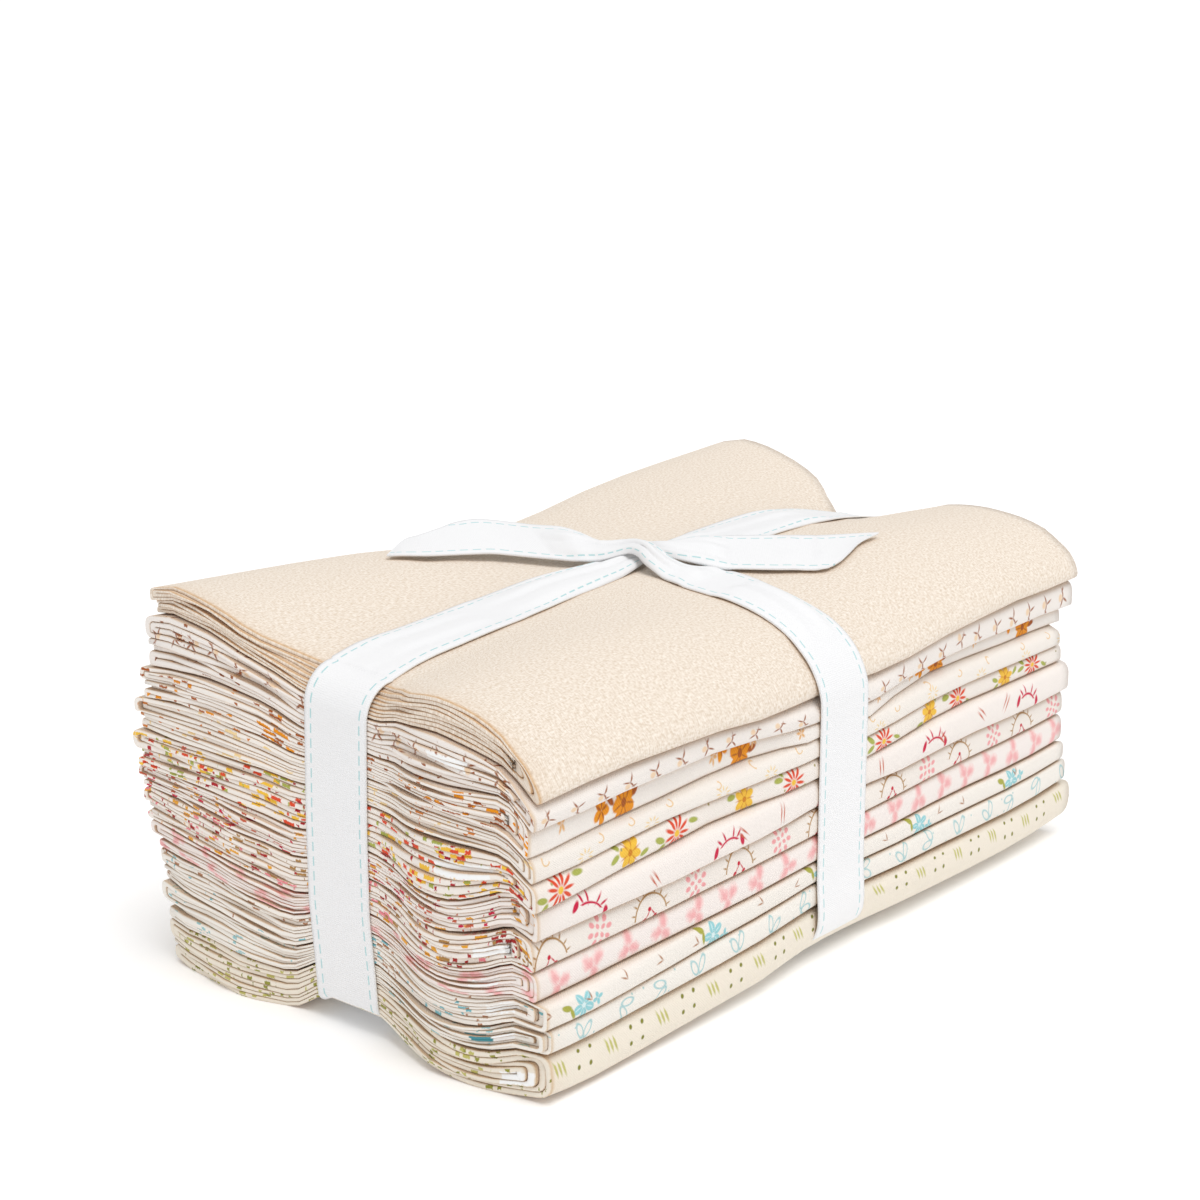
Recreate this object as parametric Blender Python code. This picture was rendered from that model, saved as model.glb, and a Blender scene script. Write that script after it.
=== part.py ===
"""A bundle of eleven folded cuts of quilting cotton, tied both ways with one flat ribbon.

Run with: blender --background --python part.py
X runs along the bundle, Y across it and Z up. Sizes are millimetres, counted from the line
where the lengthwise ribbon lies, and become metres when a mesh is made. The finished meshes
are then shifted so that the origin is the middle of the footprint.
"""
import math
from collections import namedtuple

import bmesh
import bpy

MM = 0.001
TINY = 1e-6
FOOTPRINT_SHIFT = (2.3 * MM, -2.5 * MM, -0.063 * MM)

# Folded cuts: half yards of 44 inch cloth, doubled to 9 inches long and 5.5 inches wide
LAYERS = 8
LAYER_GAP = 0.13
CLOTH_GAP = 0.40
NEAR_END = -114.0
FAR_END = 112.0

# Ribbon: about 3/4 inch wide, lying in the dents that it presses into the stack
RIBBON_WIDTH = 20.0
RIBBON_THICK = 1.0
RIBBON_GAP = 0.35
TIE_X = -4.0
TIE_STATION = 11.0
DENT_HALF = 12.0
DENT_FADE = 34.0
BOTTOM_DENT = 6.0

# Where the taut ribbon presses every cloth back to one face
PRESSED_NEAR = -113.5
PRESSED_FAR = 108.0
PRESSED_FRONT = -63.2
PRESSED_HIDDEN = 64.5

# Bulge of the end faces between the ribbon and the corners
END_BULGE = 3.5
LOBE_WIDTH = 64.0

# Lift of the bottom cloth where its long edges round up
EDGE_LIFT = 4.0
HIDDEN_EDGE_START = 52.0
FRONT_EDGE_START = -56.0
EDGE_RUN = 14.0

# Stations along the bundle and, inside the folds, across it
LENGTH_STATIONS = (NEAR_END, -58.0, TIE_X - TIE_STATION, TIE_X + TIE_STATION, 56.0, FAR_END)
WIDTH_STATIONS = (-52.0, -34.0, -12.0, 12.0, 36.0)

# Height of the top of the stack across the bundle, at five places along it
TopRow = namedtuple("TopRow", "across near_end near_lobe tie far_lobe far_end")
TOP_ROWS = (
    TopRow(-64.0, 73.0, 75.3, 75.0, 78.5, 80.0),
    TopRow(-58.0, 77.6, 79.8, 79.5, 83.0, 84.8),
    TopRow(-52.0, 83.4, 85.2, 84.4, 88.7, 89.2),
    TopRow(-34.0, 88.5, 91.4, 90.0, 94.8, 92.4),
    TopRow(-12.0, 83.6, 90.2, 92.0, 93.9, 89.0),
    TopRow(12.0, 86.0, 90.4, 92.0, 93.7, 86.6),
    TopRow(36.0, 96.2, 95.6, 92.6, 98.3, 99.2),
    TopRow(54.0, 98.0, 95.6, 92.0, 98.3, 101.8),
    TopRow(64.0, 96.0, 92.8, 89.5, 95.5, 99.5),
)

# One row for each cloth from the top down: thickness of the folded cloth at the hidden long
# side, the middle, the front lobe and both ends of the front, then how far each face stands out
Cloth = namedtuple(
    "Cloth",
    "name hidden middle lobe front_near front_far front_out hidden_out near_out far_out colour",
)
CLOTHS = (
    Cloth("cloth_01_oatmeal", 6.5, 5.4, 8.1, 7.3, 8.0, 0.3, -0.5, 0.5, 2.0, (0.80, 0.66, 0.50)),
    Cloth("cloth_02_twig", 12.5, 8.0, 10.3, 5.2, 7.4, -0.7, 0.5, 1.5, 0.0, (0.83, 0.79, 0.75)),
    Cloth("cloth_03_amber", 8.4, 6.2, 6.0, 4.8, 5.0, -2.4, 2.5, 2.5, -2.0, (0.82, 0.75, 0.68)),
    Cloth("cloth_04_straw", 8.5, 6.5, 7.3, 6.8, 4.9, -0.2, 4.5, 2.0, -3.5, (0.82, 0.77, 0.69)),
    Cloth("cloth_05_sprig", 10.3, 11.0, 14.0, 6.2, 5.3, -0.5, 5.5, 2.0, -2.5, (0.81, 0.74, 0.62)),
    Cloth("cloth_06_branch", 5.7, 6.6, 7.1, 7.6, 9.0, 1.8, 5.0, 1.5, 0.0, (0.81, 0.73, 0.67)),
    Cloth("cloth_07_wreath", 8.2, 8.7, 9.3, 7.6, 7.5, 0.3, 3.5, 2.0, -1.5, (0.81, 0.73, 0.66)),
    Cloth("cloth_08_blush", 6.8, 4.6, 4.8, 6.8, 8.6, 0.4, 1.5, 1.5, -1.5, (0.83, 0.71, 0.67)),
    Cloth("cloth_09_posy", 7.5, 7.4, 8.6, 6.1, 6.0, 1.2, 0.0, 1.0, 0.0, (0.80, 0.77, 0.72)),
    Cloth("cloth_10_aqua", 9.8, 4.8, 5.0, 6.2, 7.3, 1.7, -1.0, 1.0, 1.5, (0.79, 0.79, 0.76)),
    Cloth("cloth_11_dots", 10.5, 8.4, 9.0, 11.2, 12.0, 2.2, -2.0, 0.5, 3.0, (0.76, 0.72, 0.61)),
)
FRONT_SIDE = -62.8
HIDDEN_SIDE = 64.5
HIDDEN_STATION = 55.0
LOBE_STATION = -34.0
FRONT_STATION = -56.0

# The folded strip from one cut edge to the other, as the layers it runs through. Folds lie
# at the front after each layer of an odd place here, and at the hidden side after an even one
STRIP = (5, 4, 1, 8, 7, 2, 3, 6)
OPEN_END_BACK = {5: 2.0, 6: 3.2}

# Folds that lie inside each other, from the first layer to the last that they hold
Nest = namedtuple("Nest", "side first last back")
NESTS = (
    Nest("front", 1, 8, 0.0),
    Nest("hidden", 1, 4, 0.0),
    Nest("hidden", 7, 8, 1.5),
)
FOLD_ROUNDNESS = 2.6
WIDE_ARC_POINTS = 5
ARC_POINTS = 3
SHORT_ARC = math.radians(52.0)

# Runs of the ribbon: the neck out of the knot, then the places where each run rests on top
NECK_HEIGHT = 94.6
NECK_LIFT = 0.9
NECK_PLACES = (2.0, 8.0, 16.0)
NECK_WIDTHS = (5.4, 9.0, 15.6)
NEAR_RESTS = (-36.0, -58.0)
FAR_RESTS = (56.0, 28.0)
FRONT_RESTS = (-34.0, -52.0, -58.0)
HIDDEN_RESTS = (54.0, 36.0)
FRONT_TURN_HEIGHT = 76.0
HIDDEN_TURN_HEIGHT = 89.9
HIDDEN_TURN_TOP = (62.5, 91.2)
UNDERPASS = (20.0, 13.0)

# Knot and the two free ends
KNOT_HEIGHT = 95.1
KNOT_RADII = (6.6, 6.2, 2.7)
KNOT_SEGMENTS = 14
KNOT_RINGS = 8
Tail = namedtuple("Tail", "name heading left_length right_length")
TAILS = (
    Tail("tail_left", math.radians(128.0), 62.0, 44.0),
    Tail("tail_right", math.radians(-45.0), 62.0, 42.0),
)
TAIL_START = 1.5
TAIL_LIFT = 2.3
TAIL_STEPS = 7
TAIL_SPREAD = (0.0, 0.2, 0.4)
TAIL_WIDTHS = (5.4, 12.6, RIBBON_WIDTH)
TAIL_DROP = (0.12, 0.3)

# Finish
CLOTH_ROUGHNESS = 0.9
RIBBON_ROUGHNESS = 0.55
RIBBON_COLOUR = (0.86, 0.88, 0.89)

COLLECTION = "fabric_bundle"


def ramp(places, values, at):
    """Straight-line value at a place, held beyond both ends."""
    if at <= places[0]:
        return values[0]
    for i in range(len(places) - 1):
        if at <= places[i + 1]:
            share = (at - places[i]) / (places[i + 1] - places[i])
            return values[i] + share * (values[i + 1] - values[i])
    return values[-1]


def dent(offset):
    """1 under a ribbon, fading to 0 where the cloth is free of it."""
    return ramp((DENT_HALF, DENT_FADE), (1.0, 0.0), abs(offset))


def top_height(x, y):
    """Height of the top of the stack."""
    across = [row.across for row in TOP_ROWS]
    heights = []
    for row in TOP_ROWS:
        along = (row.near_end, row.near_lobe, row.tie, row.tie, row.far_lobe, row.far_end)
        heights.append(ramp(LENGTH_STATIONS, along, x))
    return ramp(across, heights, y)


def bottom_height(x, y):
    """Height of the underside: flat, dented by both ribbons and rounded up at its edges."""
    pressed = BOTTOM_DENT * max(dent(x - TIE_X), dent(y))
    past = max(y - HIDDEN_EDGE_START, FRONT_EDGE_START - y, 0.0)
    return max(pressed, EDGE_LIFT * min(past / EDGE_RUN, 1.0) ** 2)


def thickness(cloth, x, y):
    """Nominal thickness of one folded cloth at a place."""
    front = ramp((NEAR_END, FAR_END), (cloth.front_near, cloth.front_far), x)
    places = (FRONT_STATION, LOBE_STATION, 0.0, HIDDEN_STATION)
    return ramp(places, (front, cloth.lobe, cloth.middle, cloth.hidden), y)


def level(index, x, y, depth):
    """Height inside a cloth: depth runs from 0 on its top to 1 on its underside."""
    parts = [thickness(cloth, x, y) for cloth in CLOTHS]
    top = sum(parts[:index])
    bottom = top + parts[index]
    top += CLOTH_GAP / 2 if index > 0 else 0.0
    bottom -= CLOTH_GAP / 2 if index < len(CLOTHS) - 1 else 0.0
    share = (top + depth * (bottom - top)) / sum(parts)
    floor = bottom_height(x, y)
    return floor + (top_height(x, y) - floor) * (1.0 - share)


def free_of_ribbon(offset):
    """0 where a ribbon presses the cloth, 1 where the cloth is free of it."""
    return 1.0 - dent(offset)


def side_place(cloth, x, front):
    """Where the long face of a cloth lies, pressed back under the crosswise ribbon."""
    if front:
        pressed = PRESSED_FRONT
        free = FRONT_SIDE - cloth.front_out
    else:
        pressed = PRESSED_HIDDEN
        free = HIDDEN_SIDE + cloth.hidden_out
    return pressed + (free - pressed) * free_of_ribbon(x - TIE_X)


def end_place(cloth, y, near):
    """Where the end of a cloth lies, pressed back under the lengthwise ribbon."""
    bulge = END_BULGE * abs(math.sin(math.pi * y / LOBE_WIDTH))
    free = free_of_ribbon(y)
    if near:
        return PRESSED_NEAR - (cloth.near_out + bulge) * free
    return PRESSED_FAR + (FAR_END - PRESSED_FAR + cloth.far_out - bulge) * free


def fold_arc(half, size, count):
    """Points round a fold, upper to lower, as (inset from its tip, level from its middle)."""
    if count == 1:
        return [(size * (1.0 - half), 0.0)]
    points = []
    reach = math.pi / 2 if count == WIDE_ARC_POINTS else SHORT_ARC
    power = 2.0 / FOLD_ROUNDNESS
    for i in range(count):
        turn = reach - 2.0 * reach * i / (count - 1)
        out = max(math.cos(turn), 0.0) ** power
        rise = math.copysign(abs(math.sin(turn)) ** power, turn)
        points.append((size * (1.0 - half * out), half * rise))
    return points


def arc_count(span, outer):
    """Points round a fold: most on the widest outer face, one inside the tightest fold."""
    if span == 1 and not outer:
        return 1
    return WIDE_ARC_POINTS if span == LAYERS - 1 and outer else ARC_POINTS


def fold_points(first, second, cloth, front, outer):
    """Outline points of one fold between two layers, from the upper layer to the lower."""
    upper = min(first, second)
    lower = max(first, second)
    side = "front" if front else "hidden"
    sign = 1.0 if front else -1.0
    nest = next(n for n in NESTS if n.side == side and n.first <= upper and lower <= n.last)
    widest = (nest.last - nest.first + 1) / 2 / LAYERS
    size = widest * nominal(cloth, front)
    gap = LAYER_GAP / 2 / nominal(cloth, front)
    middle = (upper + lower - 1) / 2 / LAYERS
    half = (lower - upper + 1) / 2 / LAYERS
    half = half - gap if outer else half - 1 / LAYERS + gap
    points = []
    for inset, rise in fold_arc(half / widest, size, arc_count(lower - upper, outer)):
        points.append((side, sign * (inset + nest.back), middle - rise * widest))
    return points


def nominal(cloth, front):
    """Thickness of a cloth used to size its folds."""
    return (cloth.front_near + cloth.front_far) / 2 if front else cloth.hidden


def layer_line(layer, cloth, upper_line, towards_front):
    """Outline points along one face of one layer."""
    gap = LAYER_GAP / 2 / cloth.middle
    depth = (layer - 1) / LAYERS + gap if upper_line else layer / LAYERS - gap
    stations = sorted(WIDTH_STATIONS, reverse=towards_front)
    return [("station", y, depth) for y in stations]


def open_end(layer, cloth):
    """The two corners of the cut edge of a layer at the hidden side, upper one first."""
    gap = LAYER_GAP / 2 / cloth.hidden
    back = -OPEN_END_BACK[layer]
    return [
        ("hidden", back, (layer - 1) / LAYERS + gap),
        ("hidden", back, layer / LAYERS - gap),
    ]


def strip_outline(cloth):
    """Outline of the folded strip as (kind, place across, depth) points.

    Its left and right sides run from the cut edge of the first layer to that of the last.
    The marks are the pairs of left and right points that face each other across the strip.
    """
    start = open_end(STRIP[0], cloth)
    left = [start[0]]
    right = [start[1]]
    marks = [(0, 0)]
    for i, layer in enumerate(STRIP):
        towards_front = i % 2 == 0
        for step in range(len(WIDTH_STATIONS)):
            marks.append((len(left) + step, len(right) + step))
        left.extend(layer_line(layer, cloth, towards_front, towards_front))
        right.extend(layer_line(layer, cloth, not towards_front, towards_front))
        if i == len(STRIP) - 1:
            break
        following = STRIP[i + 1]
        downward = following > layer
        for side_points, keeps_upper in ((left, towards_front), (right, not towards_front)):
            outer = keeps_upper == downward
            arc = fold_points(layer, following, cloth, towards_front, outer)
            side_points.extend(arc if downward else arc[::-1])
    finish = open_end(STRIP[-1], cloth)
    left.append(finish[1])
    right.append(finish[0])
    marks.append((len(left) - 1, len(right) - 1))
    return left, right, marks


def place_point(index, station, point):
    """One outline point of a cloth set in space at a station along the bundle."""
    cloth = CLOTHS[index]
    kind, across, depth = point
    x = LENGTH_STATIONS[station]
    if kind != "station":
        across += side_place(cloth, x, kind == "front")
    height = level(index, x, across, depth)
    if station in (0, len(LENGTH_STATIONS) - 1):
        x = end_place(cloth, across, station == 0)
    return (x * MM, across * MM, height * MM)


def finish_mesh(name, bm, collection):
    """Make an object from a bmesh, its faces pointing out and its place the final one."""
    bmesh.ops.translate(bm, verts=bm.verts, vec=FOOTPRINT_SHIFT)
    bmesh.ops.recalc_face_normals(bm, faces=bm.faces)
    mesh = bpy.data.meshes.new(name)
    bm.to_mesh(mesh)
    bm.free()
    obj = bpy.data.objects.new(name, mesh)
    collection.objects.link(obj)
    return obj


def loft(name, rings, collection, caps=None):
    """Skin equal rings of points into one solid, capped at both ends.

    Each quad is split from its corner of low X and low Y, so that the faces of
    layers that lie over each other bend alike and never cross.
    """
    bm = bmesh.new()
    rows = [[bm.verts.new(point) for point in ring] for ring in rings]
    for row, following in zip(rows, rows[1:]):
        for i in range(len(row)):
            j = (i + 1) % len(row)
            if row[i].co.y <= row[j].co.y:
                bm.faces.new((row[i], row[j], following[j]))
                bm.faces.new((row[i], following[j], following[i]))
            else:
                bm.faces.new((row[i], row[j], following[i]))
                bm.faces.new((row[j], following[j], following[i]))
    for cap in caps or [list(range(len(rows[0])))]:
        bm.faces.new([rows[0][i] for i in reversed(cap)])
        bm.faces.new([rows[-1][i] for i in cap])
    return finish_mesh(name, bm, collection)


def make_material(name, colour, roughness):
    material = bpy.data.materials.new(name)
    material.use_nodes = True
    shader = material.node_tree.nodes["Principled BSDF"]
    shader.inputs["Base Color"].default_value = (*colour, 1.0)
    shader.inputs["Roughness"].default_value = roughness
    shader.inputs["Metallic"].default_value = 0.0
    return material


def make_cloths(collection):
    """Every folded cut as one strip, back and forth through its eight layers."""
    for index, cloth in enumerate(CLOTHS):
        left, right, marks = strip_outline(cloth)
        outline = left + right[::-1]
        last = len(outline) - 1
        caps = []
        for first_pair, last_pair in zip(marks, marks[1:]):
            cap = list(range(first_pair[0], last_pair[0] + 1))
            cap += [last - i for i in range(last_pair[1], first_pair[1] - 1, -1)]
            caps.append(cap)
        rings = []
        for station in range(len(LENGTH_STATIONS)):
            rings.append([place_point(index, station, point) for point in outline])
        obj = loft(cloth.name, rings, collection, caps)
        obj.data.materials.append(make_material(cloth.name, cloth.colour, CLOTH_ROUGHNESS))


def band_rings(path, along_x):
    """Rings of a flat band from its inner path of (along, height at low side, high side)."""
    rings = []
    half_widths = neck_widths(len(path))
    mean = [(place, (low + high) / 2) for place, low, high in path]
    for i, (place, low, high) in enumerate(path):
        before = mean[max(i - 1, 0)]
        after = mean[min(i + 1, len(mean) - 1)]
        here = mean[i]
        normals = []
        for start, end in ((before, here), (here, after)):
            run = math.dist(start, end)
            if run > TINY:
                normals.append(((end[1] - start[1]) / run, (start[0] - end[0]) / run))
        total = [sum(n[0] for n in normals), sum(n[1] for n in normals)]
        size = math.hypot(*total)
        unit = (total[0] / size, total[1] / size)
        reach = RIBBON_THICK / (unit[0] * normals[0][0] + unit[1] * normals[0][1])
        half = half_widths[i]
        corners = []
        for side, height, out in ((-1, low, 0), (1, high, 0), (1, high, 1), (-1, low, 1)):
            across = side * half
            along = place + out * unit[0] * reach
            up = height + out * unit[1] * reach
            point = (along, across, up) if along_x else (across + TIE_X, along, up)
            corners.append(tuple(value * MM for value in point))
        rings.append(corners)
    return rings


def neck_path(on_top, centre, side):
    """Inner path from the knot to where the run rests at its full width."""
    start, rise, end = (centre + side * place for place in NECK_PLACES)
    return [(start, NECK_HEIGHT, NECK_HEIGHT), on_top(rise, NECK_LIFT), on_top(end, 0.0)]


def neck_widths(count):
    """Half widths along a run that narrows into the knot at both ends."""
    start = [width / 2 for width in NECK_WIDTHS]
    return start + [RIBBON_WIDTH / 2] * (count - 2 * len(start)) + start[::-1]


def lengthwise_path():
    """Inner path of the lengthwise run, out of the knot, round the stack and back to it."""
    half = RIBBON_WIDTH / 2

    def on_top(x, lift):
        rise = RIBBON_GAP + lift
        return (x, top_height(x, -half) + rise, top_height(x, half) + rise)

    near = PRESSED_NEAR - RIBBON_GAP
    far = PRESSED_FAR + RIBBON_GAP
    near_top = on_top(PRESSED_NEAR, 0.0)
    far_top = on_top(PRESSED_FAR, 0.0)
    floor = BOTTOM_DENT - RIBBON_GAP
    path = neck_path(on_top, TIE_X, -1)
    path += [on_top(x, 0.0) for x in NEAR_RESTS]
    path += [(near, *near_top[1:]), (near, floor, floor)]
    path += [(far, floor, floor), (far, *far_top[1:])]
    path += [on_top(x, 0.0) for x in FAR_RESTS]
    path += neck_path(on_top, TIE_X, 1)[::-1]
    return path


def crosswise_path():
    """Inner path of the crosswise run, which passes under the lengthwise one below."""

    def on_top(y, lift):
        height = top_height(TIE_X, y) + RIBBON_GAP + lift
        return (y, height, height)

    def level_at(y, height):
        return (y, height, height)

    front = PRESSED_FRONT - RIBBON_GAP
    hidden = PRESSED_HIDDEN + RIBBON_GAP
    floor = BOTTOM_DENT - RIBBON_GAP
    under = floor - RIBBON_THICK - RIBBON_GAP
    path = neck_path(on_top, 0.0, -1)
    path += [on_top(y, 0.0) for y in FRONT_RESTS]
    path += [level_at(front, FRONT_TURN_HEIGHT), level_at(front, floor)]
    path += [level_at(-place, height) for place, height in zip(UNDERPASS, (floor, under))]
    path += [level_at(place, height) for place, height in zip(UNDERPASS[::-1], (under, floor))]
    path += [level_at(hidden, floor), level_at(hidden, HIDDEN_TURN_HEIGHT)]
    path += [level_at(*HIDDEN_TURN_TOP)]
    path += [on_top(y, 0.0) for y in HIDDEN_RESTS]
    path += neck_path(on_top, 0.0, 1)[::-1]
    return path


def tail_rings(tail):
    """Rings of a free end that lies over the runs and the cloth, cut at a slant."""
    ahead = (math.cos(tail.heading), math.sin(tail.heading))
    aside = (-ahead[1], ahead[0])
    rings = []
    for step in range(TAIL_STEPS + 1):
        share = step / TAIL_STEPS
        half = ramp(TAIL_SPREAD, TAIL_WIDTHS, share) / 2
        lower = []
        upper = []
        for side, length in ((1, tail.left_length), (-1, tail.right_length)):
            reach = TAIL_START + share * (length - TAIL_START)
            x = TIE_X + ahead[0] * reach + aside[0] * side * half
            y = ahead[1] * reach + aside[1] * side * half
            rest = top_height(x, y) + TAIL_LIFT
            height = max(ramp(TAIL_DROP, (KNOT_HEIGHT, rest), share), rest)
            lower.append((x * MM, y * MM, height * MM))
            upper.append((x * MM, y * MM, (height + RIBBON_THICK) * MM))
        rings.append(lower + upper[::-1])
    return rings


def make_knot(collection):
    """The pulled-tight knot as a flattened round form."""
    bm = bmesh.new()
    bmesh.ops.create_uvsphere(bm, u_segments=KNOT_SEGMENTS, v_segments=KNOT_RINGS, radius=1.0)
    for face in bm.faces:
        face.smooth = True
    for vert in bm.verts:
        vert.co.x = (vert.co.x * KNOT_RADII[0] + TIE_X) * MM
        vert.co.y = vert.co.y * KNOT_RADII[1] * MM
        vert.co.z = (vert.co.z * KNOT_RADII[2] + KNOT_HEIGHT) * MM
    return finish_mesh("knot", bm, collection)


def make_ribbon(collection, cutters):
    """One ribbon: both runs and both free ends united with the knot."""
    ribbon = loft("ribbon", band_rings(lengthwise_path(), True), collection)
    joined = [make_knot(cutters)]
    joined.append(loft("crosswise_run", band_rings(crosswise_path(), False), cutters))
    for tail in TAILS:
        joined.append(loft(tail.name, tail_rings(tail), cutters))
    for piece in joined:
        piece.hide_render = True
        piece.display_type = "WIRE"
        union = ribbon.modifiers.new("join_" + piece.name, "BOOLEAN")
        union.operation = "UNION"
        union.solver = "EXACT"
        union.object = piece
    ribbon.data.materials.append(make_material("ribbon", RIBBON_COLOUR, RIBBON_ROUGHNESS))


def main():
    for obj in list(bpy.data.objects):
        bpy.data.objects.remove(obj, do_unlink=True)
    parts = bpy.data.collections.new(COLLECTION)
    cutters = bpy.data.collections.new("cutters")
    bpy.context.scene.collection.children.link(parts)
    bpy.context.scene.collection.children.link(cutters)
    make_cloths(parts)
    make_ribbon(parts, cutters)


main()
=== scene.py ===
"""Looks of a bundle of eleven folded quilting cottons tied both ways with one flat ribbon.

X runs along the bundle, Y across it and Z up. Sizes are millimetres, counted from the line where
the lengthwise ribbon lies, and become metres in the CAD frame when a mesh is made.
"""

import math
from collections import namedtuple

import bpy
import numpy as np
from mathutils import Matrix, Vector

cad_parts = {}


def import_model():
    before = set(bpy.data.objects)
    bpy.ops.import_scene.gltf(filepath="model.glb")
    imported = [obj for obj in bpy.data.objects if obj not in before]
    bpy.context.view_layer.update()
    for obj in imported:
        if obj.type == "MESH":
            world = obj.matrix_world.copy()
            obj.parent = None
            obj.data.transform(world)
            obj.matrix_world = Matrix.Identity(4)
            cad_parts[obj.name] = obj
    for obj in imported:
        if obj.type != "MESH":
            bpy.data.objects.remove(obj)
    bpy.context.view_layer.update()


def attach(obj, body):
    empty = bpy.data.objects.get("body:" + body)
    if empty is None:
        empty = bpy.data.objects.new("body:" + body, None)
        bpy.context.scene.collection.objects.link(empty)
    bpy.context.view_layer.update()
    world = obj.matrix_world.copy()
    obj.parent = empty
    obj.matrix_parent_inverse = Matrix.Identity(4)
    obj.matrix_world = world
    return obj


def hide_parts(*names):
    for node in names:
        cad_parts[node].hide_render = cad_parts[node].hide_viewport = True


MM = 0.001
FOOTPRINT_SHIFT = np.array((2.3, -2.5, -0.063))

# Camera fitted to the photograph, for a square image
CAMERA_PLACE = (-455.67, -366.29, 231.56)
CAMERA_TARGET = (232.3, 213.85, 0.0)
CAMERA_LENS = 69.02
SENSOR = 36.0

# Light: a soft key from the front long face's side, and an even sky
SKY_LIGHT = 0.60
KEY_LIGHT = 1.6
KEY_SOFTNESS = 40.0
KEY_FROM = (-0.10, -0.32, 0.94)
BACKDROP_LIGHT = 1.1
FLOOR_HALF = 12
FLOOR_GLOW = 0.08
WHITE = (1.0, 1.0, 1.0, 1.0)

# Stack, as in the CAD
LAYERS = 8
NEAR_END = -114.0
FAR_END = 112.0
TIE_X = -4.0
TIE_STATION = 11.0
DENT_FLAT = 10.0
DENT_FADE = 34.0
BOTTOM_DENT = 6.0
PRESSED_NEAR = -113.5
PRESSED_FAR = 108.0
PRESSED_FRONT = -63.2
PRESSED_HIDDEN = 64.5
TOP_PRESSED_BACK = 1.1
END_BULGE = 3.5
LOBE_WIDTH = 64.0
EDGE_LIFT = 4.0
HIDDEN_EDGE_START = 52.0
EDGE_RUN = 14.0

# Where the lengthwise ribbon pulls the top down at the near end: across it, and along
PULL_BAND = (9.0, 19.0)
PULL_RUN = 20.0

# The underside: pressed up near the lengthwise ribbon, and lifted towards the front fold
UNDER_BAND = (6.0, 19.0)
UNDER_RUN = 35.0
UNDER_POWER = 1.8
FRONT_EDGE = (46.0, 62.0)
FRONT_RUN = 18.5
FRONT_MOST = 1.1
FRONT_LIFT = ((-114.0, -102.0, -80.0, -61.0, -38.0, -21.0, -10.0, 8.0, 28.0, 48.0, 74.0, 96.0, 112.0),
              (2.4, 1.2, 1.7, 2.5, 3.7, 5.2, 6.3, 6.2, 5.4, 4.8, 4.4, 5.2, 7.0))
FRONT_SIDE = -62.8
HIDDEN_SIDE = 64.5
CLOTH_GAP = 0.40
LENGTH_STATIONS = np.array((NEAR_END, -58.0, TIE_X - TIE_STATION, TIE_X + TIE_STATION, 56.0, FAR_END))
ACROSS = np.array((-64.0, -61.0, -58.0, -52.0, -42.0, -34.0, -22.0, -12.0, 0.0, 12.0, 16.0, 20.0, 28.0,
                   36.0, 46.0, 54.0, 60.0, 64.0))
TOP_HEIGHTS = np.array((
    (70.6, 75.3, 73.0, 73.0, 78.5, 80.2),
    (73.0, 77.5, 75.4, 75.4, 80.7, 82.6),
    (77.0, 79.8, 78.6, 78.6, 83.0, 85.0),
    (83.4, 85.2, 84.2, 84.2, 88.7, 89.2),
    (87.3, 89.9, 88.2, 88.2, 93.3, 92.0),
    (88.5, 91.4, 89.9, 89.9, 94.8, 92.7),
    (86.4, 91.0, 91.3, 91.3, 94.5, 92.0),
    (84.0, 90.2, 92.0, 92.0, 93.6, 86.0),
    (84.4, 90.2, 92.0, 92.0, 93.4, 83.4),
    (86.2, 90.4, 92.0, 92.0, 93.5, 83.6),
    (87.6, 90.8, 92.0, 92.0, 94.0, 87.8),
    (89.6, 91.8, 92.2, 92.2, 95.0, 91.8),
    (93.4, 94.2, 92.4, 92.4, 97.4, 96.0),
    (96.2, 95.6, 92.6, 92.6, 98.4, 99.2),
    (97.6, 95.8, 92.4, 92.4, 98.4, 101.2),
    (98.0, 95.6, 92.0, 92.0, 98.3, 101.8),
    (97.0, 94.4, 90.8, 90.8, 97.0, 100.8),
    (96.0, 92.8, 89.5, 89.5, 95.5, 99.5),
))
THICKNESS_PLACES = np.array((-56.0, -34.0, 0.0, 55.0))

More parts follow.
